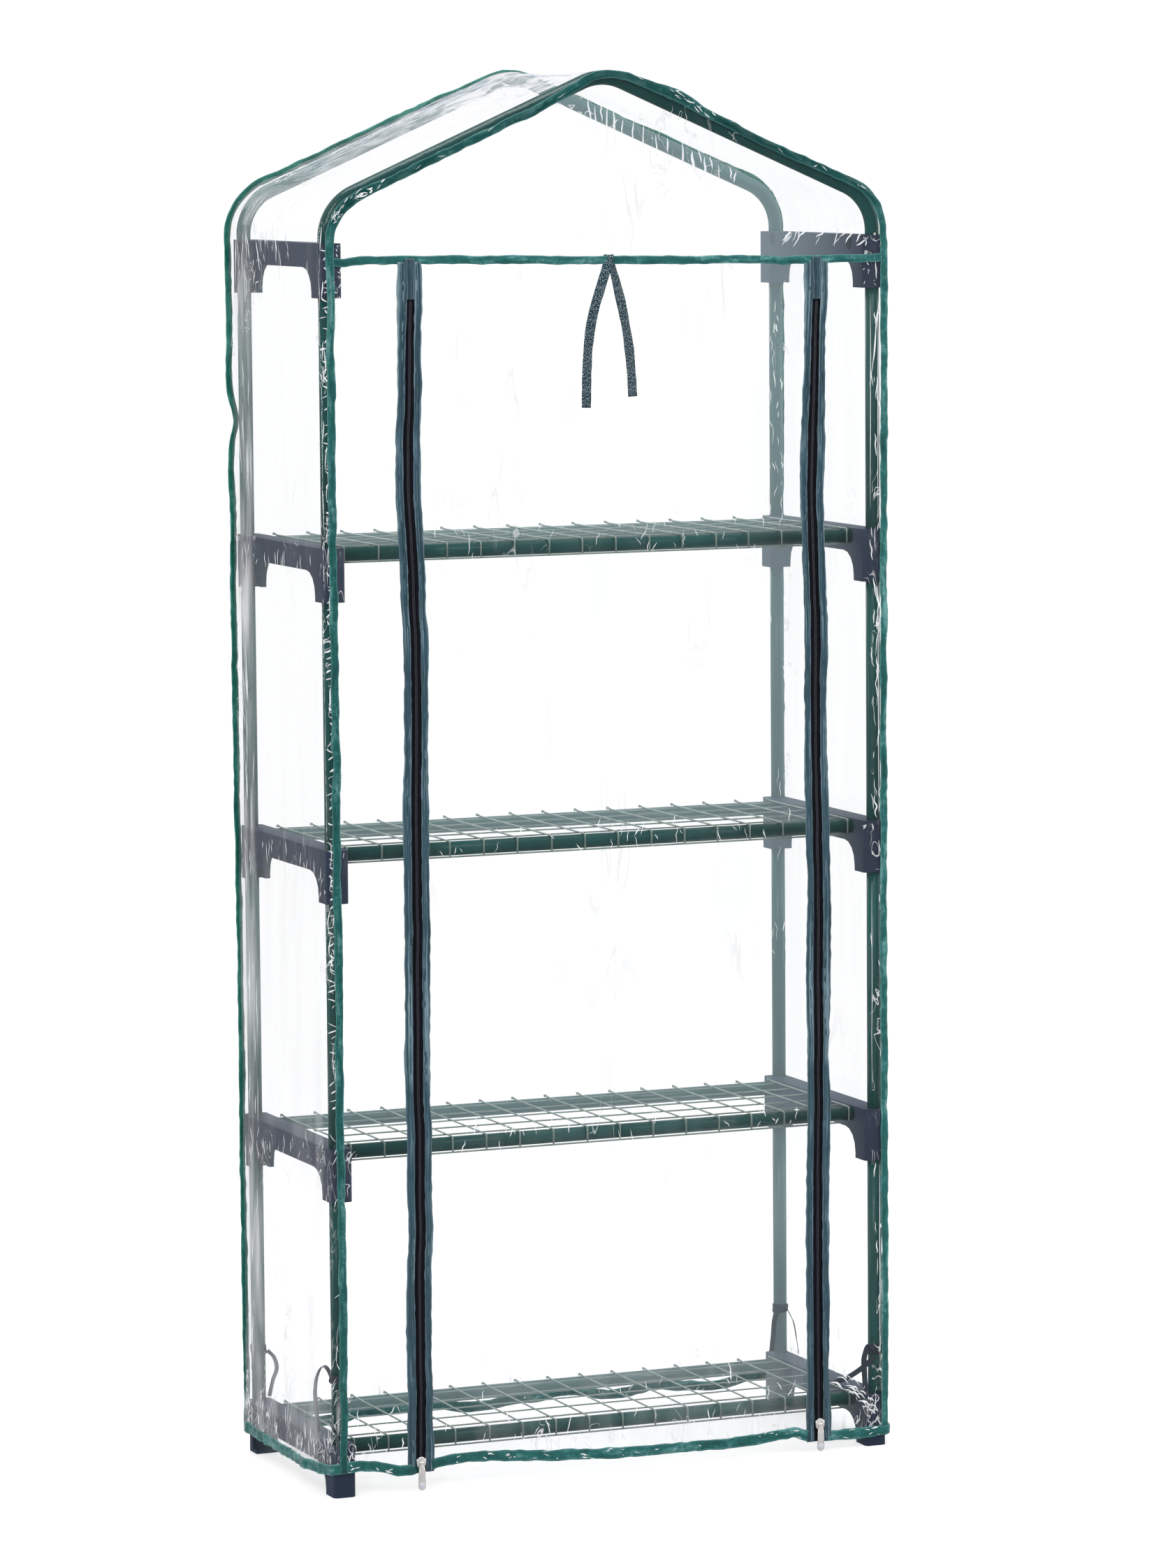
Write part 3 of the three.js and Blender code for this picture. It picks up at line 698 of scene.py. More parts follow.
def tape(path, side, width, thickness, seed, ripple=0.5, count=14, edge=0.6, scallop=0.0):
    """Flat strip with a rounded section of count points; side is the direction of its width.

    ripple lifts the surface (mm), a lower edge exponent squares the section, and scallop
    varies the width by that share.
    """
    path = np.asarray(path, float)
    tangents = unit(np.gradient(path, axis=0))
    side = np.broadcast_to(np.asarray(side, float), path.shape)
    side = unit(side - tangents * (side * tangents).sum(1)[:, None])
    normal = np.cross(tangents, side)
    d = distances(path)
    at = d[:, None]
    angle = (np.arange(count) + 0.5) * 2 * math.pi / count
    cos, sin = np.cos(angle), np.sin(angle)
    flat = np.sign(cos) * np.abs(cos) ** edge
    thick = np.sign(sin) * np.abs(sin) ** 0.8
    half = np.broadcast_to(np.asarray(width, float), d.shape)[:, None] / 2
    half = half * (1 + scallop * noise2(at / 9.0, np.sign(cos) * 3.0, seed + 5))
    lift = ripple * (noise2(at / 7.0, flat * 1.6, seed)
                     + 0.6 * noise2(at / 23.0, flat * 1.1, seed + 3))
    bulge = thickness / 2 * (1 + 0.35 * noise2(at / 11.0, thick, seed + 9))
    sections = (path[:, None, :] + side[:, None, :] * (half * flat)[..., None]
                + normal[:, None, :] * (bulge * thick + lift)[..., None])
    verts, faces, uv = loft(sections)
    uv[:, 0] = np.tile(flat * 0.5 + 0.5, len(path))
    return verts, faces, uv


def sheet(grid):
    """Open sheet from an N x M x 3 grid of points."""
    rows, columns = grid.shape[:2]
    i = np.arange(rows * columns).reshape(rows, columns)
    faces = np.stack([i[:-1, :-1], i[:-1, 1:], i[1:, 1:], i[1:, :-1]], -1).reshape(-1, 4)
    return grid.reshape(-1, 3), faces


# ------------------------------------------------------------------ the arch line
# The centre line is addressed by the signed distance from the ridge, negative to the left.
CORNER_Z = RIDGE_Z - POST_X * math.tan(SLOPE)      # where slope and post lines would meet
ELBOW_TRIM = ELBOW_R * math.tan((math.pi / 2 - SLOPE) / 2)
ELBOW_X, ELBOW_Z = POST_X - ELBOW_R, CORNER_Z - ELBOW_TRIM      # centre of the elbow bend
CREST_Z = RIDGE_Z - RIDGE_R / math.cos(SLOPE)      # centre of the ridge bend
CREST_END = RIDGE_R * SLOPE
ELBOW_START = CREST_END + (POST_X / math.cos(SLOPE) - ELBOW_TRIM - RIDGE_R * math.tan(SLOPE))
ELBOW_END = ELBOW_START + ELBOW_R * (math.pi / 2 - SLOPE)
HALF = ELBOW_END + ELBOW_Z                         # down to the floor


def arch(along):
    """x, z and outward normal x, z of the centre line."""
    along = np.asarray(along, float)
    d = np.abs(along)
    sign = np.where(along < 0, -1.0, 1.0)
    crest = np.clip(d, 0, CREST_END) / RIDGE_R
    slope = np.clip(d - CREST_END, 0, ELBOW_START - CREST_END)
    elbow = SLOPE + np.clip(d - ELBOW_START, 0, ELBOW_END - ELBOW_START) / ELBOW_R
    x = RIDGE_R * np.sin(crest) + slope * math.cos(SLOPE)
    z = CREST_Z + RIDGE_R * np.cos(crest) - slope * math.sin(SLOPE)
    x = np.where(d > ELBOW_START, ELBOW_X + ELBOW_R * np.sin(elbow), x)
    z = np.where(d > ELBOW_START, ELBOW_Z + ELBOW_R * np.cos(elbow), z)
    z = z - np.clip(d - ELBOW_END, 0, None)
    angle = np.where(d < CREST_END, crest, np.where(d < ELBOW_START, SLOPE, elbow))
    return sign * x, z, sign * np.sin(angle), np.cos(angle)


def off_arch(along, offset):
    """x, z at an outward offset from the centre line."""
    x, z, normal_x, normal_z = arch(along)
    return x + normal_x * offset, z + normal_z * offset


def along_at(z, side):
    """Arch distance of a height on the left (-1) or right (1) post."""
    return side * (ELBOW_END + (ELBOW_Z - z))


# ------------------------------------------------------------------ frame
def posts_and_rails():
    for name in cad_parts:
        is_post = name.startswith("post_")
        is_rail = name.startswith("shelf_tube_")
        if not (is_post or is_rail):
            continue
        low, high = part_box(name)
        x, y, z = (np.array(low) + np.array(high)) * 500
        if is_post:
            path = straight((x, y, low[2] * 1000), (x, y, high[2] * 1000))
        else:
            path = straight((low[0] * 1000, y, z), (high[0] * 1000, y, z))
        front = y < 0 and (x < 0 or is_rail)
        build("round_" + name, *pipe(path), [TUBE_FRONT_SHADED if front else TUBE], "frame_tube",
              stands_for=(name,))


def arches():
    for name, y, material in (("arch_front", -POST_Y, TUBE_FRONT_SHADED), ("arch_rear", POST_Y, TUBE)):
        foot = along_at(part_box(name)[0][2] * 1000, 1)
        along = np.concatenate([
            [-foot, -ELBOW_END], np.linspace(-ELBOW_END, -ELBOW_START, 26)[1:],
            np.linspace(-CREST_END, CREST_END, 25), np.linspace(ELBOW_START, ELBOW_END, 26),
            [foot]])
        x, z = arch(along)[:2]
        build("round_" + name, *pipe(points(x, y, z)), [material], "frame_tube",
              stands_for=(name,))


def soften_brackets():
    for name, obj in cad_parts.items():
        if not name.startswith("bracket_"):
            continue
        obj.data.materials.clear()
        obj.data.materials.append(BRACKET)
        obj.data.polygons.foreach_set("use_smooth", np.full(len(obj.data.polygons), True))
        bevel = obj.modifiers.new("soft_edges", "BEVEL")
        bevel.width = 0.0007
        bevel.segments = 2
        bevel.limit_method = "ANGLE"
        bevel.angle_limit = math.radians(35)
        bevel.miter_outer = "MITER_ARC"
        obj.modifiers.new("weighted", "WEIGHTED_NORMAL").keep_sharp = True


CROSS_WIRE_X = [(i - 7.5) * 41.0 for i in range(16)]
LONG_WIRE_Y = [-89, -44.5, 0, 44.5, 89]
LIP_BEND_R = 3.2
# hook at the rear end of a cross wire: x and z from the wire, y, and share of the random tip lift
HOOK = [(0, 100.5, 0, 0), (-0.1, 103.2, 0.3, 0), (-0.7, 104.9, 1.0, 0), (-1.9, 105.3, 1.8, 0.2),
        (-3.1, 104.4, 2.1, 0.2), (-3.9, 102.6, 1.7, 0), (-4.0, 101.2, 1.0, 0)]


def wire_shelf(index, uniform):
    level = LEVELS[index]
    wire_z = level - RAIL_DROP + TUBE_R + 1.25
    lip_z = level - LIP_DROP
    bag = Bag()
    for x in CROSS_WIRE_X:
        lean = uniform(-0.5, 0.5)
        tip = uniform(-0.6, 0.6)
        path = [(x + lean, LIP_Y, lip_z - 1.5), (x + lean, LIP_Y + 0.1, wire_z - 6)]
        for k in range(1, 6):
            angle = math.pi / 2 * k / 6
            path.append((x + lean, LIP_Y + LIP_BEND_R - LIP_BEND_R * math.cos(angle),
                         wire_z - LIP_BEND_R + LIP_BEND_R * math.sin(angle)))
        path += [(x + lean * 0.6, LIP_Y + 8, wire_z), (x, -44.5, wire_z + 0.15),
                 (x, 20, wire_z + 0.1), (x, 92, wire_z)]
        path += [(x + dx, y, wire_z + dz + tip * share) for dx, y, dz, share in HOOK]
        bag.add(*rod(path, 1.05, 8))
    for y in LONG_WIRE_Y:
        path = straight((-308.3, y, wire_z - 1.55), (308.3, y, wire_z - 1.55), 31)
        path = [p + np.array([0, uniform(-0.15, 0.15), uniform(-0.08, 0.08)]) for p in path]
        bag.add(*rod(path, 0.9, 8))
    sag = (0.9 * np.sin(np.linspace(0, math.pi, 31))
           + 0.25 * noise1(np.linspace(0, 9, 31), 40 + index))
    lip = points(np.linspace(-308.6, 308.6, 31), LIP_Y - 0.2, lip_z - 1.3 - 0.25 * sag)
    bag.add(*rod(lip, 1.0, 8))
    number = index + 1
    bag.out(f"welded_shelf_{number}", [WIRE], "shelf_wire", body=f"shelf_{number}",
            stands_for=(f"wire_shelf_{number}",))


posts_and_rails()
arches()
soften_brackets()
shelf_random = np.random.default_rng(7)
for shelf_index in range(4):
    wire_shelf(shelf_index, shelf_random.uniform)

# ------------------------------------------------------------------ cover: where the seams run
# distance along the arch, outward offset of the seam from the centre line
FRONT_SEAM = [
    (-HALF, -1.2), (-900, -1.2), (-ELBOW_END - 60, -0.4), (-ELBOW_END, -1.0), (-340, -4.4),
    (-300, -4.0), (-170, -3.6), (-100, -2.4), (-40, 1), (0, 4), (40, 7), (85, 9.0), (120, 7),
    (170, 5.5), (320, 6), (ELBOW_END, 8.5), (ELBOW_END + 60, 9), (900, 7.5), (HALF, 7)]
REAR_SEAM = [
    (-HALF, 9.5), (-1250, 10.5), (-700, 11.5), (-620, 10.5), (-598, 6.5), (-575, 11.5),
    (-500, 13.5), (-ELBOW_END, 13.5), (-300, 11), (-170, 9.5), (-60, 8), (0, 6.5), (60, 8),
    (170, 9), (300, 10.5), (ELBOW_END, 12), (900, 11), (HALF, 10)]
# height, x of each zip's centre line; -1 is the left zip, 1 the right
ZIP_LINES = {
    -1: [(15, -239.0), (46, -238.6), (213, -239.6), (400, -237.5), (600, -237.0), (781, -236.0),
         (870, -234.5), (991, -236.4), (1131, -241.5), (1250, -239.5), (1361, -238.0),
         (1380, -238.0)],
    1: [(15, 254.6), (58, 254.3), (190, 253.2), (450, 254.8), (716, 254.6), (850, 252.6),
        (973, 253.2), (1104, 249.6), (1230, 252.4), (1353, 255.6), (1380, 255.6)]}
ZIP_FOOT_X = {-1: -239.0, 1: 254.5}
# x, height of the front hem
FRONT_HEM = [
    (-340, 33), (-311, 34.5), (-285, 31), (-262, 25.5), (-239, 27), (-215, 31), (-190, 33.5),
    (-156, 32.5), (-100, 28), (6, 22), (100, 20.5), (171, 21), (205, 24.5), (225, 25.5),
    (240, 20), (254, 18), (275, 17.5), (297, 17), (345, 18.5)]
# y, height of each side hem
SIDE_HEMS = {
    -1: [(-146, 33), (-128, 31), (-80, 27), (-29, 24.5), (39, 26), (90, 27.5), (124, 29),
         (150, 29)],
    1: [(-146, 19.5), (-128, 20), (-80, 22), (-29, 24.5), (39, 27), (90, 25), (124, 26),
        (150, 27)]}


def front_seam(along):
    """The cover sits a little to the right of the frame."""
    return (curve(FRONT_SEAM, along) + 1.0 * noise1(along / 46.0, 11)
            + 0.6 * noise1(along / 15.0, 12))


def rear_seam(along):
    return (curve(REAR_SEAM, along) + 0.8 * noise1(along / 50.0, 21)
            + 0.5 * noise1(along / 17.0, 22))


def zip_x(z, side):
    wobble = noise1(np.asarray(z, float) / 37.0, 31 if side < 0 else 32)
    return curve(ZIP_LINES[side], z) + 0.7 * wobble


def front_hem_z(x):
    return curve(FRONT_HEM, x)


def side_hem_z(y, side):
    return curve(SIDE_HEMS[side], y)


def zip_distance(x, z):
    return np.minimum(np.abs(x - zip_x(z, -1)), np.abs(x - zip_x(z, 1)))


def front_y(x, z):
    """Front film: just clear of the brackets, more rumpled near the zips and the hem."""
    x, z = np.broadcast_arrays(np.asarray(x, float), np.asarray(z, float))
    to_zip = zip_distance(x, z)
    wave = 1.3 * layered(x / 150.0, z / 260.0, 51)
    wave += 1.5 * np.exp(-to_zip / 26.0) * noise2(x / 30.0, z / 75.0, 52)
    wave += near_hem(z, 70.0) * (2.4 * noise2(x / 26.0, z / 90.0, 53)
                                 + 2.2 * bell(x, -258, 26.0) + 2.0 * bell(x, 212, 24.0))
    wave += 0.5 * layered(x / 22.0, z / 60.0, 54)
    calm = bell(to_zip, 0, 9.5, 4) * (smooth(150, 80, z)
                                      + smooth(1100, 1130, z) * smooth(1215, 1190, z))
    wave = wave * (1 - 0.85 * calm) - 1.3 * calm
    return -143.4 - np.clip(wave + 1.1, -0.7, 6.0)


def front_crinkle(x, z):
    x, z = np.broadcast_arrays(np.asarray(x, float), np.asarray(z, float))
    sway = 0.75 + 0.45 * noise1(z / 110.0, 62)
    posts = bell(x, -331, 8.0, 4) * 0.5 + bell(x, 332, 9.0, 4) * 0.5 * sway
    for level in LEVELS:
        bracket = smooth(level + 6, level - 4, z) * smooth(level - 70, level - 56, z) * 0.55
        posts = np.maximum(posts, bell(np.abs(x), 329, 16.0, 4) * bracket)
    shelves = sum(bell(z, level - 4, 16.0) for level in LEVELS[1:4])
    gable = smooth(1400, 1450, z) * bell(x, 60, 130.0) * 0.42
    patch = smooth(0.35, 0.8, noise2(x / 90.0, z / 120.0, 61)) * 0.08
    total = (posts + 0.10 + 0.14 * np.exp(-zip_distance(x, z) / 20.0) + 0.62 * near_hem(z, 45.0)
             + 0.14 * shelves + gable + patch)
    return np.clip(total, 0, 1.3)


# ------------------------------------------------------------------ film panels
def front_grid(left_x, right_x, u, v):
    """x, z grid between two edges, from the hem up to the door seam."""
    x = left_x * (1 - u) + right_x * u
    hem = front_hem_z(x)
    return x, hem + (SEAM_Z - hem) * v


def front_panel():
    """The margins beside the door and the gable above it."""
    bag = Bag()
    for side in (-1, 1):
        rows = np.append(np.arange(0, 1, STEP / 1358.0), 1.0)
        u, v = np.meshgrid(np.linspace(0, 1, 19), rows)
        z = FILM_FOOT_Z + (SEAM_Z - FILM_FOOT_Z) * v
        along = along_at(z, side)
        seam = arch(along)[0] + side * front_seam(along)
        x, z = front_grid(seam, zip_x(z, side) + side * 14.0, u, v)
        bag.add(*sheet(points(x, front_y(x, z), z)), values=front_crinkle(x, z))
    along = np.linspace(-(ELBOW_END + 25), ELBOW_END + 25, detail(220, 120))
    x, top = off_arch(along, front_seam(along))
    v = np.linspace(0, 1, detail(48, 28))[None, :]
    z = SEAM_Z + (np.maximum(top[:, None], SEAM_Z + 1) - SEAM_Z) * v
    x = np.broadcast_to(x[:, None], z.shape)
    bag.add(*sheet(points(x, front_y(x, z), z)), values=front_crinkle(x, z))
    bag.out("front_panel_film", [FILM_FRONT], "film", attribute="crinkle",
            stands_for=("film_front_with_zip_tapes",))


def gather_with_door(obj):
    """Gives the piece a mesh of its own."""
    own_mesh(obj)


def door_panel():
    u, v = np.meshgrid(np.linspace(0, 1, int(470 / STEP) + 1),
                       np.linspace(0, 1, int(1355 / STEP) + 1))
    z = FILM_FOOT_Z + (SEAM_Z - FILM_FOOT_Z) * v
    x, z = front_grid(zip_x(z, -1) + 13.0, zip_x(z, 1) - 13.0, u, v)
    milk = 0.075 * smooth(470, 300, z) + 0.045 * smooth(170, 90, z)
    milk = milk * (0.7 + 0.3 * noise2(x / 120.0, z / 60.0, 66)) + 0.012
    gather_with_door(build(
        "door_film", *sheet(points(x, front_y(x, z), z)), [FILM_DOOR], "film",
        attributes={"crinkle": front_crinkle(x, z), "milk": milk},
        stands_for=[f"door_section_{i}" for i in range(1, 7)]))


def stand_off(along, y):
    """How far the roof and side film stands off the arch line."""
    z = arch(along)[1]
    on_side = smooth(ELBOW_START, ELBOW_END, np.abs(along))
    sag = 4.5 * np.clip(1 - (y / 128.0) ** 2, 0, 1)
    roof = (8.5 - sag * (1 + 0.5 * noise2(along / 120.0, y / 90.0, 71))
            + 0.9 * layered(along / 26.0, y / 60.0, 72))
    side = (10.7 + 1.5 * noise2(y / 38.0, z / 190.0, 73)
            + 0.9 * layered(y / 15.0, z / 120.0, 74))
    gathers = crests(y / 9.0, z / 90.0, 75)
    side = side + near_hem(z, 85.0) * (3.2 + 3.6 * (gathers - 0.45)
                                       + 2.0 * noise2(y / 21.0, z / 60.0, 76))
    least = 8.6 + 0 * y
    for level in LEVELS:
        bracket = smooth(level + 14, level + 2, z) * smooth(level - 74, level - 62, z)
        least = np.maximum(least, 10.3 * bracket)
    side = np.maximum(side, least)
    roof = np.where(np.abs(np.abs(y) - POST_Y) < 10, np.maximum(roof, 8.3), roof)
    return roof * (1 - on_side) + side * on_side


def roof_and_side_crinkle(along, y, z, on_side):
    laced = bell(y, -138, 7.0, 4)
    brackets = np.zeros_like(y)
    for level in LEVELS:
        brackets = np.maximum(
            brackets, smooth(level + 12, level + 2, z) * smooth(level - 70, level - 50, z))
    side = (0.16 + 0.45 * laced + 0.30 * np.exp(-np.abs(y - 132) / 11.0)
            + 0.62 * near_hem(z, 120.0)
            + 0.30 * brackets * (0.6 + 0.6 * noise2(y / 30.0, z / 40.0, 77))
            + 0.28 * smooth(0.1, 0.8, noise2(y / 60.0, z / 160.0, 78)))
    roof = (0.12 + 0.05 * laced + 0.62 * np.exp(-np.abs(y - 128) / 24.0)
            + 0.35 * bell(along, 0, 60.0)
            + 0.35 * smooth(0.2, 0.8, noise2(along / 70.0, y / 60.0, 79)))
    roof = roof * (1 - 0.95 * bell(y, -138, 18.0, 4))
    return np.clip(side * on_side + roof * (1 - on_side), 0, 1.4)


def roof_and_side_milk(along, y, z, on_side):
    left = along < 0
    front_clear = 1 - bell(y, -134, 16.0, 4)
    roof_left = (0.14 + 0.34 * bell(along, -150, 150.0) * bell(y, 100, 70.0)
                 + 0.72 * bell(along, -40, 85.0, 4))
    roof = np.where(left, roof_left, 0.10 + 0.12 * bell(along, 0, 60.0)) * front_clear
    side_left = (0.03 + 0.62 * bell(y, 110, 24.0, 4) * (0.7 + 0.5 * noise2(0, z / 90.0, 69))
                 + 0.30 * near_hem(z, 110.0)
                 + 0.10 * smooth(1000, 500, z) * (1 + noise2(y / 40.0, z / 200.0, 68)))
    side = np.where(left, side_left, 0.04)
    return np.clip((side * on_side + roof * (1 - on_side)) * front_clear, 0, 0.9)


def roof_and_sides():
    """One strip from the left hem over the ridge to the right hem."""
    rows = int(2 * HALF / (STEP * 1.1))
    along = np.linspace(-(HALF - 26), HALF - 26, rows)
    across = np.linspace(FRONT_EDGE_Y, REAR_EDGE_Y, detail(46, 30))
    arch_x, arch_z, normal_x, normal_z = (values[:, None] for values in arch(along))
    front, rear = front_seam(along), rear_seam(along)
    middle = stand_off(*np.broadcast_arrays(along[:, None], across))
    seam_y = front_y(arch_x[:, 0] + normal_x[:, 0] * front, arch_z[:, 0])
    offsets, ys = [], []
    for t in (0.0, 0.18, 0.4, 0.65, 0.86):
        offsets.append(front + (middle[:, 0] - front) * t)
        ys.append(seam_y + (FRONT_EDGE_Y - seam_y) * (1 - math.sqrt(1 - t * t)))
    offsets.extend(middle.T)
    ys.extend(np.full(rows, y) for y in across)
    for t in (0.35, 0.7, 1.0):
        offsets.append(middle[:, -1] + (rear - middle[:, -1]) * t)
        ys.append(np.full(rows, REAR_EDGE_Y + 7.0 * math.sin(t * math.pi / 2)))
    offset, y = np.stack(offsets, 1), np.stack(ys, 1)
    x, z = arch_x + normal_x * offset, arch_z + normal_z * offset
    # bend the lower edge to the hem line
    for side in (-1, 1):
        half = along * side > 0
        z[half] += (side_hem_z(y[half], side) - 26) * (1 - smooth(26, 300, arch_z[half]))
    along = along[:, None] + 0 * offset
    on_side = smooth(ELBOW_START, ELBOW_END, np.abs(along))
    build("roof_and_side_film", *sheet(points(x, y, z)), [FILM_SIDES], "film",
          attributes={"crinkle": roof_and_side_crinkle(along, y, z, on_side),
                      "milk": roof_and_side_milk(along, y, z, on_side)},
          stands_for=("film_roof_and_sides",))


def back_y(x, z):
    wave = 1.6 * layered(x / 140.0, z / 240.0, 81) + 0.7 * layered(x / 30.0, z / 90.0, 82)
    wave = wave + 2.0 * near_hem(z, 60.0) * noise2(x / 30.0, z / 80.0, 83)
    return 146.6 + np.clip(wave, -1.5, 5.0)


def back_panel():
    """Rows run straight across below the split height and up to the arch above it."""
    split_z = 1395
    along = np.linspace(-(HALF - 27), HALF - 27, int(2 * HALF / (STEP * 1.3)))
    edge_x, edge_z = off_arch(along, rear_seam(along))
    rows = np.linspace(26, split_z, int(1370 / (STEP * 1.4)))
    on_left, on_right = along < -ELBOW_END + 8, along > ELBOW_END - 8
    left = np.interp(rows, edge_z[on_left], edge_x[on_left])
    right = np.interp(rows, edge_z[on_right][::-1], edge_x[on_right][::-1])
    u = np.linspace(0, 1, int(690 / (STEP * 1.4)))[None, :]
    x = left[:, None] * (1 - u) + right[:, None] * u
    z = np.broadcast_to(rows[:, None], x.shape)
    crinkle = (0.10 + 0.5 * near_hem(z, 60.0)
               + 0.2 * smooth(0.2, 0.8, noise2(x / 80.0, z / 130.0, 84)))
    bag = Bag()
    bag.add(*sheet(points(x, back_y(x, z), z)), values=np.clip(crinkle, 0, 1))
    above = edge_z >= split_z
    top_x, top_z = edge_x[above][:, None], edge_z[above][:, None]
    foot_x = np.clip(top_x, left[-1], right[-1])
    v = np.linspace(0, 1, 34)[None, :]
    x = foot_x + (top_x - foot_x) * v
    z = split_z + (np.maximum(top_z, split_z + 0.5) - split_z) * v
    bag.add(*sheet(points(x, back_y(x, z), z)), values=np.full(x.size, 0.16))
    bag.out("back_panel_film", [FILM_BACK], "film", attribute="crinkle",
            stands_for=("film_back",))


front_panel()
door_panel()
roof_and_sides()
back_panel()

# ------------------------------------------------------------------ raised creases, painted as white highlight glints and grey shade
PAINTED_GLINT, PAINTED_FOLD_SHADE = painted_glint_material(), painted_fold_shade_material()
# Every draw below comes from this generator, so the order of the calls matters.
crease_random = np.random.default_rng(41)
uniform = crease_random.uniform


def front_point(x, z):
    return points(x, front_y(x, z) - 0.1, z)


def low_front_point(x, z):
    return points(x, front_y(x, z) - 1.5, z)


def hem_point(x, up):
    hem = front_hem_z(x)
    return points(x, front_y(x, hem) - 2.5, hem + up)


def seam_point(along, out):
    x, z = off_arch(along, front_seam(along) + out)
    return points(x, front_y(x, z) - 2.3, z)


def left_point(y, z):
    return points(-(POST_X + stand_off(along_at(z, -1), y)) - 0.1, y, z)


def corner_point(turn, z):
    """turn runs from 0 at the front seam to 1 on the left side."""
    along = along_at(z, -1)
    seam = front_seam(along)
    flank = stand_off(along, np.full_like(z, FRONT_EDGE_Y))
    seam_y = front_y(-(POST_X + seam), z)
    y = seam_y + (FRONT_EDGE_Y - seam_y) * (1 - np.sqrt(np.clip(1 - turn * turn, 0, 1)))
    return points(-(POST_X + seam + (flank - seam) * turn), y - 0.15, z)


def roof_point(along, y):
    x, z = off_arch(along, stand_off(along, y) + 0.1)
    return points(x, y, z)


# surfaces a crease can lie on: point function of two coordinates, direction in which it rises
FORWARD = (0, -1, 0)
FRONT, LOW_FRONT = (front_point, FORWARD), (low_front_point, FORWARD)
HEM, SEAM, CORNER = (hem_point, FORWARD), (seam_point, FORWARD), (corner_point, FORWARD)
LEFT = (left_point, (-1, 0, 0))
ROOF = (roof_point, (-math.sin(SLOPE), 0, math.cos(SLOPE)))
RIDGE = (roof_point, (0, 0, 1))


def stroke(bag, surface, control, width, stations=14, rise=0.35):
    """A raised crease: a thin lens-shaped ridge along a curved path on a surface, painted as
    highlight or shade by its bag's material.
    """
    to_point, outward = surface
    outward = np.asarray(outward, float)
    line = to_point(*smooth_path(control, stations).T)
    side = unit(np.cross(unit(np.gradient(line, axis=0), 1e-9), outward), 1e-9)
    k = np.linspace(0, 1, stations)
    spread = width * (0.12 + np.sin(k * math.pi) ** 0.8 * (0.75 + 0.25 * uniform(-1, 1)))
    spread = side * spread[:, None] / 2
    base = line + outward * 0.15
    crest = line + outward * (0.2 + rise * np.sin(k * math.pi))[:, None]
    bag.add(*sheet(np.stack([base + spread, crest, base - spread], 1)))


def wander(a, b, span_a, span_b, bend):
    """Control points from (a, b) across a span, with random bends between the ends."""
    bend = bend * min(1.0, math.hypot(span_a, span_b) / 20.0)
    control = []
    for t in np.linspace(0, 1, 5):
        inner = 0 < t < 1
        control.append((a + span_a * t + uniform(-bend, bend) * inner,
                        b + span_b * t + uniform(-bend, bend) * 0.6 * inner))
    return control


def crease(bag, surface, a, b, span_a, span_b, bend, widths, grow=1, **options):
    """A wandering stroke whose width is drawn from a range."""
    control = wander(a, b, span_a, span_b, bend)
    stroke(bag, surface, control, uniform(*widths) * grow, **options)


def scatter(bag, surface, count, a, b, span_a, span_b, bend, widths, stations=12):
    """Creases with start and span drawn from ranges."""
    for _ in range(count):
        start = uniform(*a), uniform(*b)
        crease(bag, surface, *start, uniform(*span_a), uniform(*span_b), bend, widths,
               stations=stations)


def corner_lacing():
    """Zigzag of painted highlight glints where the side sheet turns into the front seam, up the
    front left post.
    """
    z = 46.0
    while z < 1392:
        low = z < 430
        run = 0.5 + 0.5 * noise1(z / 60.0, 45)
        step = uniform(3.0, 8.0) * (3.2 if low else 1.0 + 0.9 * run)
        if uniform() < (0.55 if low else 0.9):
            start, end = uniform(0.10, 0.45), uniform(0.5, 0.92)
            if uniform() < 0.5:
                start, end = end, start
            length = uniform(4, 12) if low else uniform(1.5, 7.0)
            width = uniform(0.4, 0.9) if low else uniform(0.6, 2.5)
            middle = (start + end) / 2 + uniform(-0.15, 0.15)
            top = z + length
            stroke(side_crease_glints, CORNER, [(start, z), (middle, z + length * 0.5), (end, top)],
                   width, stations=9)
            if uniform() < 0.45:
                tail = [(end, top), (end + uniform(-0.14, 0.05), top + uniform(4, 14)),
                        (end - 0.12, top + uniform(15, 30))]
                stroke(side_crease_glints, CORNER, tail, uniform(0.5, 1.5) * (0.5 if low else 1),
                       stations=10)
        z += step


def seam_glints():
    """On the front seam's tape, thickest at the left elbow and just past the ridge."""
    for k in range(64):
        if k % 4 == 0:
            along = uniform(-ELBOW_END - 30, ELBOW_END + 60)
        else:
            along = (crease_random.choice([-354.0, -334.0, -318.0, 96.0])
                     + crease_random.normal(0, 17))
        out, length = uniform(-4.5, 4.5), uniform(3, 11)
        slant = uniform(-3.5, 3.5)
        control = [(along, out), (along + length * 0.5, out + slant * 0.5 + uniform(-0.6, 0.6)),
                   (along + length, out + slant)]
        stroke(front_crease_glints, SEAM, control, uniform(0.5, 1.9) * (1.0 if k % 4 else 0.6),
               stations=10, rise=0.3)


# x, bottom z, top z of the long painted highlight lines on the front right post
RIGHT_POST_LINES = [(323.6, 1090, 1334), (333.2, 1080, 1330), (333.0, 740, 1000),
                    (324.0, 420, 660), (333.0, 100, 330)]
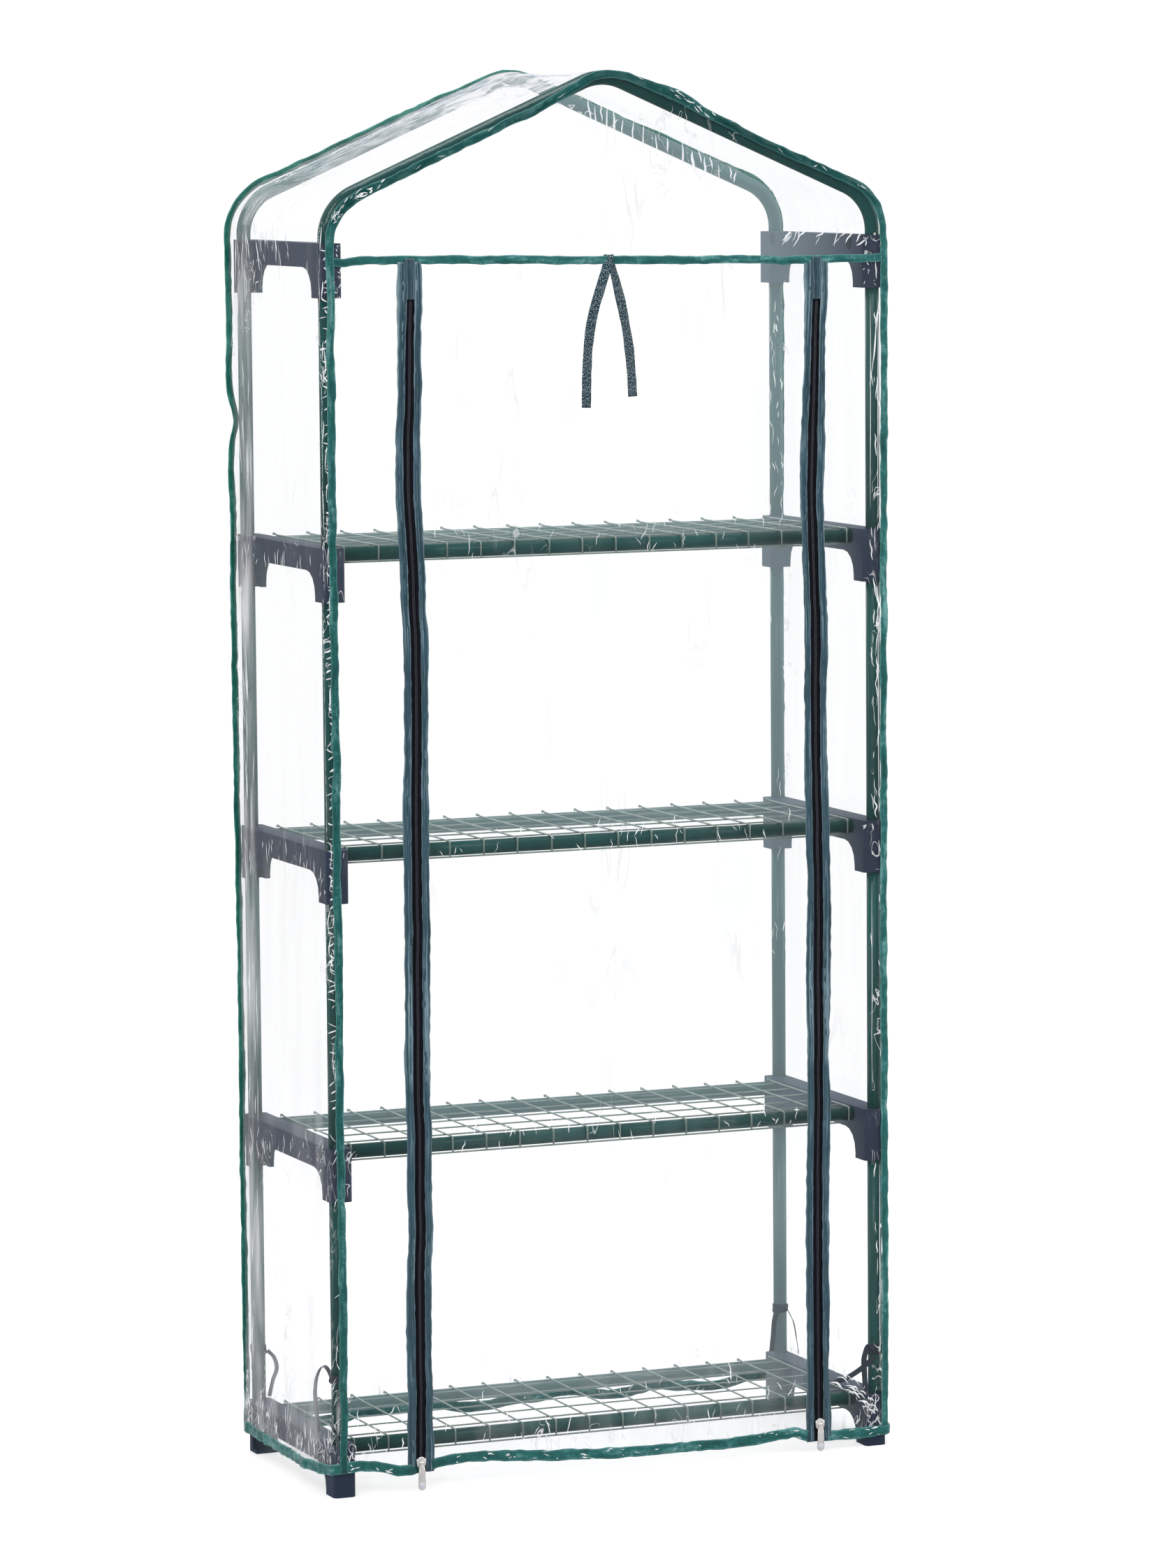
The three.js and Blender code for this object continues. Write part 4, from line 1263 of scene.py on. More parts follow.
# painted highlight curls: x, z, span in x, span in z, width
RIGHT_POST_CURLS = [
    (336, 1338, -14, -110, 1.0), (334, 1320, -6, -62, 1.1), (338, 1280, -3, -50, 0.9),
    (331, 1000, 5, -30, 2.0), (327, 1010, 3, -22, 1.8), (333, 960, -3, -40, 1.3),
    (330, 905, 2, -34, 1.2), (336, 860, -5, -44, 1.2), (335, 770, -2, -30, 1.5),
    (328, 760, 2, -26, 1.8)]


def right_post_crease_glints():
    for _ in range(95):
        z = uniform(70, 1372)
        if 1060 > z > 690 or uniform() < 0.42:
            length = uniform(5, 26)
            x = uniform(324, 337)
            crease(front_crease_glints, FRONT, x, z, uniform(-4, 2.5), length, 1.2, (0.5, 1.7),
                   stations=12)
    for x, low, high in RIGHT_POST_LINES:
        control = [(x + 0.3 * noise1(z / 40.0, 46), z) for z in np.linspace(low, high, 9)]
        stroke(front_crease_glints, FRONT, control, 0.9, stations=40, rise=0.15)
    for *place, width in RIGHT_POST_CURLS:
        stroke(front_crease_glints, FRONT, wander(*place, 1.5), width, stations=16)


def top_bracket_crease_glints():
    """Painted highlight glints over the front top brackets, and over the rear right one as seen
    through the gable.
    """
    scatter(front_crease_glints, FRONT, 34, a=(-334, -314), b=(1338, 1398), span_a=(-5, 5),
            span_b=(-7, 7), bend=1.6, widths=(0.4, 1.1), stations=10)
    scatter(front_crease_glints, FRONT, 12, a=(314, 336), b=(1338, 1398), span_a=(-6, 6),
            span_b=(-8, 8), bend=1.5, widths=(0.5, 1.2), stations=10)
    scatter(front_crease_glints, FRONT, 44, a=(212, 308), b=(1388, 1414), span_a=(3, 14),
            span_b=(6, 20), bend=1.6, widths=(0.6, 2.3))


# painted highlight streaks: x, length, width, rise above the line of the rear arch as seen through
# the gable
GABLE_STREAKS = [
    (-22, 26, 2.0, 4), (-14, 34, 1.6, 0), (-6, 22, 1.2, 8), (1, 64, 1.6, 8), (8, 46, 2.2, 6),
    (20, 18, 1.0, 0), (33, 26, 1.2, 4), (46, 42, 1.6, 8), (60, 26, 1.2, 0), (74, 16, 1.4, 2),
    (92, 40, 1.4, 6), (104, 22, 2.2, 0), (112, 16, 1.4, 6), (119, 26, 2.4, 0),
    (126, 14, 1.6, 4), (136, 18, 1.4, -2), (150, 14, 1.6, 2), (158, 12, 1.2, 0)]


def gable_crease_glints():
    def line_z(x):
        return 1530 - 0.4327 * x

    for x, length, width, rise in GABLE_STREAKS:
        control = wander(x, line_z(x) + 12 + rise, uniform(-4, 4), -length, 1.2)
        stroke(front_crease_glints, FRONT, control, width * 1.4)
    for _ in range(16):
        x = uniform(-70, 10)
        z = line_z(x) + uniform(-10, 8)
        crease(front_crease_glints, FRONT, x, z, uniform(4, 10), uniform(-8, 8), 1.8, (0.7, 1.8),
               stations=12)


def door_crease_glints_by_rear_post():
    """Painted highlight glints on the door, where the rear right post shows behind it."""
    scatter(door_crease_glints, FRONT, 46, a=(196, 222), b=(1070, 1360), span_a=(-4, 4),
            span_b=(5, 24), bend=1.6, widths=(0.5, 1.6))
    scatter(door_crease_glints, FRONT, 16, a=(196, 222), b=(560, 1030), span_a=(-4, 4),
            span_b=(5, 20), bend=1.4, widths=(0.4, 1.1))


HEM_BAND, TOP_BAND = 34, 1040
# bands of painted highlight glints: bottom z, top z, count, left x, right x
CREASE_BANDS = [(TOP_BAND, 1082, 46, -225, 235), (712, 742, 30, -215, 235),
                (378, 408, 26, -215, 235), (HEM_BAND, 96, 74, -330, 335)]


def on_door_or_margin(x, door_from, door_to, door_bag):
    """The bag a front crease belongs to, or None beside a zip."""
    if door_from < x < door_to:
        return door_bag
    return front_crease_glints if x < -262 or x > 276 else None


def shelf_and_hem_crease_glints():
    for low, high, count, left, right in CREASE_BANDS:
        for _ in range(count):
            x, z = uniform(left, right), uniform(low, high)
            if low == HEM_BAND and x > 276 and uniform() < 0.65:
                continue
            if low == TOP_BAND and not (-10 < x < 150) and uniform() < 0.55:
                continue
            bag = on_door_or_margin(x, -218, 234, door_crease_glints)
            if bag is None:
                continue
            big = uniform() < 0.25
            surface = FRONT
            if low == HEM_BAND and bag is door_crease_glints and z < 74:
                bag, surface = door_foot_crease_glints, LOW_FRONT
            crease(bag, surface, x, z, uniform(-7, 7), uniform(3, 15) * (1.7 if big else 1),
                   1.6, (0.45, 1.1), grow=1.6 if big else 1, stations=12)
    # a slanting cluster of painted highlight glints at the lower right corner
    for _ in range(22):
        t = uniform(0, 1)
        x, z = 268 + 56 * t + uniform(-6, 6), 92 - 50 * t + uniform(-8, 10)
        length = uniform(4, 15)
        control = [(x, z), (x + 0.55 * length, z - 0.10 * length),
                   (x + min(length, 336 - x), max(z - 0.62 * length, 28))]
        stroke(front_crease_glints, FRONT, control, uniform(0.7, 2.4), rise=0.5)
    # small glints on the hem
    for _ in range(58):
        x, up, length = uniform(-328, 334), uniform(-4.5, 4.5), uniform(2, 9)
        bag = on_door_or_margin(x, -222, 230, door_foot_crease_glints)
        if bag is not None:
            slant = uniform(-3, 3)
            control = [(x, up), (x + length * 0.5, up + slant * 0.5 + uniform(-0.5, 0.5)),
                       (x + length, float(np.clip(up + slant, -5.5, 5.5)))]
            stroke(bag, HEM, control, uniform(0.5, 1.5), stations=9, rise=0.2)
    scatter(front_crease_glints, FRONT, 9, a=(300, 332), b=(30, 96), span_a=(-3, 3), span_b=(-8, 8),
            bend=1.2, widths=(0.5, 1.2))


def left_side_crease_glints():
    """Painted highlight glints over the brackets, then up the rear post."""
    for level, count in zip(LEVELS, (34, 26, 30, 34, 26)):
        for _ in range(count):
            y, z = uniform(-132, 132), uniform(max(level - 58, 36), level - 2)
            if abs(y) < 105 and z < level - 27:
                continue
            length = uniform(6, 26)
            crease(side_crease_glints, LEFT, y, z, uniform(-6, 6),
                   -length if z - length > 34 else length, 1.6, (0.4, 1.3), stations=12)
    scatter(side_crease_glints, LEFT, 60, a=(90, 132), b=(110, 1380), span_a=(-4, 4), span_b=(14, 60),
            bend=1.6, widths=(0.5, 1.5), stations=14)


def roof_crease_glints_and_shades():
    # painted highlight glints and painted fold shade on the roof
    # along the rear edge of the left slope
    for _ in range(150):
        along, y = uniform(-318, -36), 134 - abs(crease_random.normal(0, 20))
        length = uniform(22, 78)
        bag = roof_fold_shades if uniform() < 0.55 else roof_glints
        if along > -110:
            length = min(length, -30 - along)
        crease(bag, ROOF, along, y, length, uniform(-9, 9), 2.0, (0.7, 2.4), rise=0.25)
    # across, just left of the ridge
    for k in range(60):
        along, y = uniform(-75, -6), uniform(-120, 120)
        crease(roof_fold_shades if k % 3 else roof_glints, ROOF, along, y, uniform(-14, 14),
               uniform(22, 70) * (1 if y < 60 else -1), 2.0, (0.5, 1.6), rise=0.25)
    # over the left elbow
    for k in range(44):
        along, y = uniform(-395, -330), uniform(-60, 128)
        crease(roof_fold_shades if k % 2 else roof_glints, ROOF, along, y, -uniform(14, 50),
               uniform(-14, 6), 2.0, (0.5, 1.4), rise=0.25)
    # two long folds beside the ridge
    for along in (-4.0, -13.0):
        control = [(along, -138), (along - 2, -60), (along + 1, 0), (along - 1, 70),
                   (along, 138)]
        stroke(roof_fold_shades, RIDGE, control, 1.3, stations=60, rise=0.3)


# bags of painted highlight glints; the roof's folds get painted shade
front_crease_glints, side_crease_glints, door_crease_glints, door_foot_crease_glints = Bag(), Bag(), Bag(), Bag()
roof_glints, roof_fold_shades = Bag(), Bag()
corner_lacing()
seam_glints()
right_post_crease_glints()
top_bracket_crease_glints()
gable_crease_glints()
door_crease_glints_by_rear_post()
shelf_and_hem_crease_glints()
left_side_crease_glints()
roof_crease_glints_and_shades()
roof_glints.out("film_painted_glints_roof", [PAINTED_GLINT], "film")
roof_fold_shades.out("film_fold_shades_roof", [PAINTED_FOLD_SHADE], "film")
front_crease_glints.out("film_painted_glints_front", [PAINTED_GLINT], "film")
side_crease_glints.out("film_painted_glints_left_side", [PAINTED_GLINT], "film")
gather_with_door(door_crease_glints.out("film_painted_glints_door", [PAINTED_GLINT], "film"))
door_foot_crease_glints.out("film_painted_glints_door_low", [PAINTED_GLINT], "film", body="door_section_6")

# ------------------------------------------------------------------ bindings
UP, ACROSS = (0, 0, 1), (1, 0, 0)
SEAM_ALONG = np.linspace(-(HALF - 24), HALF - 24, int(2 * HALF / 3.2))


def front_seam_binding():
    along = SEAM_ALONG
    x, z = off_arch(along, front_seam(along))
    normal_x, normal_z = arch(along)[2:]
    elbow, past_ridge = bell(along, -345, 30.0), bell(along, 88, 34.0)  # wider, rumpled places
    y = (front_y(x, z) - 0.6 - 0.9 * elbow * (1 + noise1(along / 7.0, 89))
         - 0.7 * past_ridge * (1 + noise1(along / 9.0, 88)))
    z = np.where(along < 0, z + 5.4 * smooth(60, 25, z), z)
    width = 9.4 + 0.9 * noise1(along / 28.0, 91) + 3.0 * elbow + 4.5 * past_ridge
    # painted shade over the roof, and a little of it down the left side
    painted_shade = (0.80 * smooth(ELBOW_END + 30, ELBOW_END - 60, np.abs(along))
            + 0.25 * smooth(ELBOW_END - 20, ELBOW_END + 60, -along))
    painted_shade = np.clip(painted_shade * (0.8 + 0.2 * noise1(along / 40.0, 87)), 0, 1)
    count = 14
    shell = tape(points(x, y, z), points(normal_x, 0.12, normal_z), width, thickness=1.7,
                 seed=92, ripple=0.55, count=count, scallop=0.10)
    build_shell("front_seam_binding", shell, BINDING, "binding", values=np.repeat(painted_shade, count),
                attribute="painted_shade", stands_for=("cover_binding",))


def rear_seam_binding():
    along = SEAM_ALONG
    x, z = off_arch(along, rear_seam(along))
    normal_x, normal_z = arch(along)[2:]
    shell = tape(points(x, 147.2 + 0.8 * noise1(along / 60.0, 93), z),
                 points(normal_x * 0.97, -0.26, normal_z * 0.97),
                 8.6 + 0.8 * noise1(along / 30.0, 94), thickness=1.7, seed=95, scallop=0.10)
    build_shell("rear_seam_binding", shell, BINDING_REAR, "binding")


# x, height above 1379 of the seam over the door
DOOR_SEAM = [(-331, 2.6), (-200, 2.6), (-72, -1.2), (60, -2.6), (250, -4.6), (341, -4.0)]


def door_seam_binding():
    x = np.linspace(-331, 341, 240)
    z = (1379.0 + curve(DOOR_SEAM, x) + 1.0 * noise1(x / 90.0, 96) + 0.5 * noise1(x / 22.0, 97)
         - 2.2 * bell(x, -318, 10.0) - 1.8 * bell(x, 215, 9.0))
    shell = tape(points(x, front_y(x, z) - 1.0, z), UP, 9.4 + 0.6 * noise1(x / 20.0, 98),
                 thickness=1.7, seed=99, ripple=0.45, scallop=0.08)
    build_shell("door_seam_binding", shell, BINDING, "binding")


def front_hem_path(x, clearance):
    hem = front_hem_z(x)
    return points(x, front_y(x, hem) - clearance, hem)


def side_hem_path(y, side):
    offset = stand_off(np.full(len(y), along_at(30.0, side)), y) + 0.8
    return points(side * (POST_X + offset), y, side_hem_z(y, side))


def hem_binding():
    """From the left zip round the left side, back and right side to the right zip."""
    y = np.linspace(-141, 145, 70)
    x = np.linspace(-338, 338, 150)
    back_z = 28.5 + 6.0 * noise1(x / 62.0, 101) + 2.0 * noise1(x / 25.0, 100)
    path = resample(np.concatenate([
        front_hem_path(np.linspace(ZIP_FOOT_X[-1] - 2.0, -331, 26), 0.3),
        side_hem_path(y, -1),
        points(x, back_y(x, 30.0) + 0.6, back_z),
        side_hem_path(np.linspace(145, -141, 70), 1),
        front_hem_path(np.linspace(340, ZIP_FOOT_X[1] + 2.0, 24), 0.3)]), 3.2)
    width = 12.6 + 1.0 * noise1(np.arange(len(path)) / 9.0, 102)
    shell = tape(path, UP, width, thickness=1.8, seed=103, ripple=0.7, scallop=0.10)
    build_shell("hem_binding", shell, BINDING, "binding")


def door_hem_binding():
    """Rides with the lowest door section."""
    x = np.linspace(ZIP_FOOT_X[-1] + 13.0, ZIP_FOOT_X[1] - 15.0, 180)
    shell = tape(front_hem_path(x, 1.3), UP, 12.6 + 1.0 * noise1(x / 30.0, 104),
                 thickness=1.8, seed=105, ripple=0.7, scallop=0.10)
    build_shell("door_hem_binding", shell, BINDING, "binding", body="door_section_6")


front_seam_binding()
rear_seam_binding()
door_seam_binding()
hem_binding()
door_hem_binding()

# ------------------------------------------------------------------ zips
SIDES = ((-1, "left"), (1, "right"))
ZIP_TOP = {-1: 1379.0, 1: 1373.0}
TEETH_TOP = {-1: 1337.0, 1: 1328.5}
PATCH_Z = {-1: (1337.5, 1382.5), 1: (1329, 1377)}
ZIP_MATERIALS = [ZIP_SIDE, ZIP_TAPE, COIL]


def zip_half(side, half, seed, door):
    """One half of a zip; half is -1 left of its centre line and +1 right of it."""
    top = TEETH_TOP[side]
    z = np.linspace(float(front_hem_z(ZIP_FOOT_X[side])) - 5.5, ZIP_TOP[side], 520)
    x, y = zip_x(z, side), front_y(zip_x(z, side), z)
    bag = Bag()
    # side tape
    inner = 4.9 + 1.2 * smooth(top - 10, top - 170, z)
    width = (8.8 + 1.5 * noise1(z / 95.0, seed) + 0.8 * noise1(z / 26.0, seed + 1)
             + 1.2 * smooth(1290, 1340, z) + 1.5 * smooth(90, 40, z))
    path = points(x + half * (inner + width / 2),
                  y - 1.0 - 0.5 * (1 + noise1(z / 31.0, seed + 7)), z)
    bag.add(*tape(path, ACROSS, width, thickness=1.2, seed=seed + 2, ripple=0.55, count=16,
                  scallop=0.12))
    # a second fold of the same tape, lying closer to the teeth
    width = 4.4 + 1.2 * noise1(z / 60.0, seed + 11)
    middle = inner - 0.1 + width / 2 + 0.7 * noise1(z / 44.0, seed + 12)
    bag.add(*tape(points(x + half * middle, y - 1.9, z), (1, 0.12 * half, 0), width,
                  thickness=0.8, seed=seed + 13, ripple=0.3, count=12, scallop=0.10))
    # woven tape
    z = z[z <= top + 9]
    x, y = zip_x(z, side), front_y(zip_x(z, side), z)
    inner = 0.15 if door else -0.9
    path = points(x + half * (inner + 7.4) / 2, y - 0.75 + (0 if door else 0.35), z)
    bag.add(*tape(path, ACROSS, 7.4 - inner, thickness=0.7, seed=seed + 4, ripple=0.10,
                  count=10, edge=0.4), material=1)
    if not door:
        # facing behind the upper teeth, so the zip looks closed when the door is gathered
        facing_z = np.linspace(1148, 1374, 60)
        facing_x = zip_x(facing_z, side)
        path = points(facing_x - half * 2.9, front_y(facing_x, facing_z) + 2.0, facing_z)
        bag.add(*tape(path, ACROSS, 7.6, thickness=0.5, seed=seed + 5, ripple=0.08, count=10,
                      edge=0.4), material=1)
    # stitched rib
    bag.add(*tape(points(x + half * 3.1, y - 1.2, z), ACROSS, 0.9, thickness=0.5,
                  seed=seed + 6, ripple=0.03, count=8, edge=0.8), material=1)
    # coil: a bead that swells at every turn
    stations = detail(1300, 300)
    z = np.linspace(z[0], top - 1, stations)
    x, y = zip_x(z, side), front_y(zip_x(z, side), z)
    phase = 0 if half > 0 else math.pi
    radius = (0.86 + 0.22 * np.sin(np.arange(stations) * math.pi / 2 + phase))[:, None]
    x = x + half * (0.86 + (0.0 if door else 0.03))
    angle = np.arange(6) * math.pi / 3
    bag.add(*loft(points(x[:, None] + np.cos(angle) * radius,
                         y[:, None] - 1.35 + np.sin(angle) * (radius * 0.7), z[:, None])),
            material=2)
    return bag


def zip_top_patch(side, name):
    """Patch over the top of the zip, with two vertical folds."""
    z = np.linspace(*PATCH_Z[side], 30)
    x, y = zip_x(z, side), front_y(zip_x(z, side), z)
    bag = Bag()
    bag.add(*tape(points(x - 0.4, y - 2.1, z), ACROSS, 11.5, thickness=0.9, seed=240 + side,
                  ripple=0.35, scallop=0.05))
    for k, (shift, width) in enumerate(((-4.9, 3.0), (2.9, 5.0))):
        path = points(x + shift + 0.8 * noise1(z / 15.0, 250 + k), y - 2.9, z)
        bag.add(*tape(path, (1, 0.1, 0), width, thickness=0.8, seed=244 + side + k, ripple=0.2,
                      scallop=0.12))
    bag.out(f"zip_{name}_top_patch", [ZIP_SIDE], "binding")


def plate(x, z, back, front, bevel):
    """Plate with the given outline in the x-z plane and eased edges, between two y values."""
    outline = np.column_stack((x, z))
    centre = outline.mean(0)
    spokes = outline - centre
    length = np.linalg.norm(spokes, axis=1)[:, None]
    step = bevel if front > back else -bevel
    rings = []
    for y, inset in ((back, bevel), (back + step * 0.4, bevel * 0.3), (back + step, 0),
                     (front - step, 0), (front - step * 0.4, bevel * 0.3), (front, bevel)):
        ring = centre + spokes * (1 - inset / length)
        rings.append(points(ring[:, 0], y, ring[:, 1]))
    return loft(rings)


PIN_Y, PIN_Z = -149.4, 33.0
# slider side rails: distance from the zip line, y, z
SLIDER_RAIL = [(4.8, -146.9, 37.4), (5.1, -147.6, 35.6), (4.8, -147.7, 31.0),
               (3.5, -147.1, 27.6)]
# raised rails on the pull: distance from the zip line, z
PULL_RAIL = [(2.6, 27.0), (3.0, 22.0), (3.3, 17.0), (3.4, 12.0)]
# pull outline: z, half width, above the round end
PULL_END_Z, PULL_END_HALF = 6.0, 4.3
PULL_WIDTHS = [(PULL_END_Z, PULL_END_HALF), (15.0, 4.15), (24.0, 3.85), (28.0, 3.3),
               (30.4, 2.2), (31.5, 2.15), (34.3, 0.9)]


def slider_body(zip_at, name):
    """Heart-like plate with two shoulders at the top and a narrow nose below."""
    angle = np.linspace(0, 2 * math.pi, 36, endpoint=False)
    cos, sin = np.cos(angle), np.sin(angle)
    x = 5.3 * np.sign(cos) * np.abs(cos) ** 0.8 * (1 + 0.10 * sin)
    z = 6.2 * sin - 0.9 * np.cos(2 * angle) * (sin > 0)
    bag = Bag()
    bag.add(*plate(zip_at + x, 32.6 + z, -146.3, -148.1, bevel=0.55))
    for s in (-1, 1):
        bag.add(*plate(zip_at + s * 3.2 + 0.55 * cos, PIN_Z + 2.1 * sin, -147.8, -150.1,
                       bevel=0.25))
    bag.add(*rod([(zip_at + dx, PIN_Y, PIN_Z) for dx in (-3.3, 0, 3.3)], 0.68, 16))
    for s in (-1, 1):
        bag.add(*rod([(zip_at + s * dx, y, z) for dx, y, z in SLIDER_RAIL], 0.7, 10))
    bag.out(f"zip_slider_body_{name}", [NICKEL], "zip_metal", body=f"zip_slider_{name}",
            stands_for=(f"zip_slider_{name}",))


def pull_tab(zip_at, name):
    """Eye, waist and wide end with a clear round insert."""
    z = np.concatenate([np.linspace(34.3, 29.0, 12), np.linspace(28.4, PULL_END_Z, 24),
                        2.0 + 4.0 * (1 - np.sin(np.linspace(0.12, math.pi / 2 - 0.06, 12)))])
    half = np.interp(z, *zip(*PULL_WIDTHS))
    end = z < PULL_END_Z
    half[end] = PULL_END_HALF * np.sqrt(
        np.clip(1 - ((PULL_END_Z - z[end]) / 4.05) ** 2, 0.02, 1))
    bag = Bag()
    bag.add(*plate(np.concatenate([zip_at - half, (zip_at + half)[::-1]])[::-1],
                   np.concatenate([z, z[::-1]])[::-1], PIN_Y + 0.55, PIN_Y - 0.5, bevel=0.22))
    bag.add(*rod(points(np.linspace(zip_at - 2.2, zip_at + 2.2, 5), PIN_Y, PIN_Z), 1.35, 16))
    turn = np.linspace(0, 2 * math.pi, 25)
    rim = points(zip_at + 3.3 * np.cos(turn), PIN_Y - 0.65, 6.9 + 3.6 * np.sin(turn))
    bag.add(*rod(rim, 0.32, 8, caps=False))
    for s in (-1, 1):
        bag.add(*rod([(zip_at + s * dx, PIN_Y - 0.55, z) for dx, z in PULL_RAIL], 0.3, 8))
    turn = (np.arange(28) * 2 * math.pi / 28)[::-1]
    bag.add(*plate(zip_at + 3.1 * np.cos(turn), 6.9 + 3.4 * np.sin(turn), PIN_Y - 0.3,
                   PIN_Y - 0.95, bevel=0.25), material=1)
    bag.out(f"zip_pull_tab_{name}", [NICKEL, INSERT], "zip_metal", body=f"zip_pull_{name}",
            stands_for=(f"zip_pull_{name}",))


for side, name in SIDES:
    zip_half(side, side, 200 + side, False).out(f"zip_{name}_fixed_half", ZIP_MATERIALS,
                                                "binding")
    gather_with_door(zip_half(side, -side, 220 + side, True).out(
        f"zip_{name}_door_half", ZIP_MATERIALS, "binding"))
    zip_top_patch(side, name)
for side, name in SIDES:
    slider_body(DOOR_CX + side * DOOR_HALF, name)
    pull_tab(DOOR_CX + side * DOOR_HALF, name)


# ------------------------------------------------------------------ ties
def ribbon(control, side, width, thickness, seed, stations, twist=None):
    """twist: turns of the width direction about the path, in radians, evenly spaced."""
    path = smooth_path(control, stations)
    if twist is not None:
        tangents = unit(np.gradient(path, axis=0), 0)
        side = np.broadcast_to(np.asarray(side, float), path.shape)
        side = unit(side - tangents * (side * tangents).sum(1)[:, None], 0)
        angle = np.interp(np.linspace(0, 1, stations), np.linspace(0, 1, len(twist)), twist)
        side = (side * np.cos(angle)[:, None]
                + np.cross(tangents, side) * np.sin(angle)[:, None])
    return tape(path, side, width, thickness, seed, ripple=0.25, count=12, edge=0.5,
                scallop=0.04)


# name, piece it stands for, seed, path, twist
DOOR_TIES = [
    ("door_tie_outside", "door_tie_front", 301,
     [(1, -145.2, 1383), (-1, -146.8, 1374), (-9, -147.4, 1350), (-19, -147.0, 1318),
      (-25, -146.6, 1284), (-27, -146.4, 1250), (-28, -146.6, 1213)],
     [0.5, 0.35, 0.05, 0.25, -0.1, 0.1, 0.0]),
    ("door_tie_inside", "door_tie_rear", 302,
     [(5, -141.5, 1383), (6, -141.2, 1374), (12, -140.6, 1352), (20, -140.8, 1318),
      (26, -141.0, 1285), (29, -140.8, 1255), (31, -140.6, 1224)],
     [-0.6, -0.3, 0.15, -0.2, 0.1, -0.1, 0.0])]

# corner, post side in x and y, knot z, knot direction (degrees), seed,
# tails: path, direction of the width, width
POST_TIES = [
    ("front_left", -1, -1, 134, 200, 311, [
        ([(-341.2, -136, 136), (-340.8, -124, 143), (-340.6, -108, 145), (-340.6, -88, 131),
          (-340.4, -79, 112), (-340.4, -82, 90), (-340.6, -90, 66)], (0.9, 0, 0.4), 4.6)]),
    ("front_right", 1, -1, 112, 250, 321, [
        ([(328, -141.3, 114), (320, -141.0, 118), (315.5, -140.0, 108), (315, -139.5, 88),
          (317, -139.5, 64)], (1, 0, 0.1), 7.0),
        ([(327, -140.5, 104), (312, -139.0, 92), (296, -137.5, 83), (278, -136.5, 77)],
         (0, 0.15, 1), 6.0)]),
    ("rear_left", -1, 1, 120, 280, 331, [
        ([(-324, 124, 119), (-318, 120, 112), (-315, 118, 100), (-320, 118, 84),
          (-324, 119, 66)], (1, 0, 0), 4.8),
        ([(-340.5, 130, 118), (-341.3, 128, 108), (-341.2, 129, 97)], (0, 1, 0), 4.6)]),
    ("rear_right", 1, 1, 114, 250, 341, [
        ([(325, 122.6, 116), (320, 121, 104), (318, 121, 84), (316, 122, 64)],
         (1, 0.1, 0), 7.0),
        ([(337, 123, 114), (340, 112, 100), (340, 103, 82), (340, 97, 64)],
         (0.3, 1, 0), 7.0)])]


def add_knot(bag, post_x, post_y, z, facing, seed):
    """Two turns round the post and a small knot on the facing side."""
    turn = np.linspace(0, 2 * math.pi, 49)
    for k, lift in enumerate((-2.2, 2.4)):
        radius = 9.0 + 0.25 * np.sin(3 * turn + k + seed)
        path = points(post_x + radius * np.cos(turn), post_y + radius * np.sin(turn),
                      z + lift + 1.1 * np.sin(turn + k * 2.0 + seed))
        bag.add(*tape(path, UP, 5.0, thickness=0.8, seed=seed + k, ripple=0.15, count=10))
    cos, sin = math.cos(facing), math.sin(facing)
    centre = np.array([post_x + 9.6 * cos, post_y + 9.6 * sin, z])
    sideways, outward = np.array([-sin, cos, 0]), np.array([cos, sin, 0])
    turn = np.linspace(0, 2 * math.pi, 33)
    loop = (centre + np.outer(np.cos(turn) * 3.2, sideways) + np.outer(np.sin(turn) * 3.6, UP)
            + np.outer(0.5 + 0.6 * np.sin(2 * turn), outward) * 0.8)
    bag.add(*tape(loop, outward, 2.6, thickness=1.1, seed=seed + 5, ripple=0.2, count=10))
    bag.add(*rod(loop[::-1] * 0.5 + centre * 0.5, 1.6, 8))


for name, piece, seed, path, twist in DOOR_TIES:
    build_shell(name, ribbon(path, ACROSS, 11.2, 0.9, seed, stations=60, twist=twist), TIE,
                "tie", stands_for=(piece,))
for corner, side_x, side_y, knot_z, facing, seed, tails in POST_TIES:
    bag = Bag()
    add_knot(bag, side_x * POST_X, side_y * POST_Y, knot_z, math.radians(facing), seed)
    for k, (path, side, width) in enumerate(tails):
        bag.add(*ribbon(path, side, width, 0.8, seed + 20 + k, stations=50))
    bag.out(f"post_tie_{corner}", [TIE_INSIDE], "tie", stands_for=(f"frame_tie_{corner}",))


# ------------------------------------------------------------------ stage, in metres
def floor_material():
    """Near-white floor that runs into the white background away from the rack."""
    m = Material("studio_floor_white")
    color = m.ramp(m.noise(scale=0.6), (0.3, (0.46, 0.46, 0.465, 1)),
                   (0.7, (0.48, 0.48, 0.485, 1)))
    camera, white = m.camera_ray(), (1, 1, 1, 1)
    lift = m.shader("Emission", Color=white, Strength=m.scale_add(camera, 0.60, 0.0))
    near = m.node("AddShader", m.principled(color, 0.8, specular=0.1), lift).outputs[0]
    distance = m.node("VectorMath", m.node("NewGeometry").outputs["Position"])
    distance.operation = "LENGTH"
    away = m.smooth_range(distance.outputs["Value"], 0.9, 3.2)
    far = m.shader("Emission", Color=white, Strength=m.scale_add(camera, 0.62, 0.45))
    return m.finish(m.mix_shader(away, near, far))


def studio_floor(half=30.0):
    mesh = bpy.data.meshes.new("studio_floor")
    mesh.from_pydata([(-half, -half, 0), (half, -half, 0), (half, half, 0), (-half, half, 0)],
                     [], [(0, 1, 2, 3)])
    obj = bpy.data.objects.new("studio_floor", mesh)
    mesh.materials.append(floor_material())
    bpy.context.scene.collection.objects.link(obj)


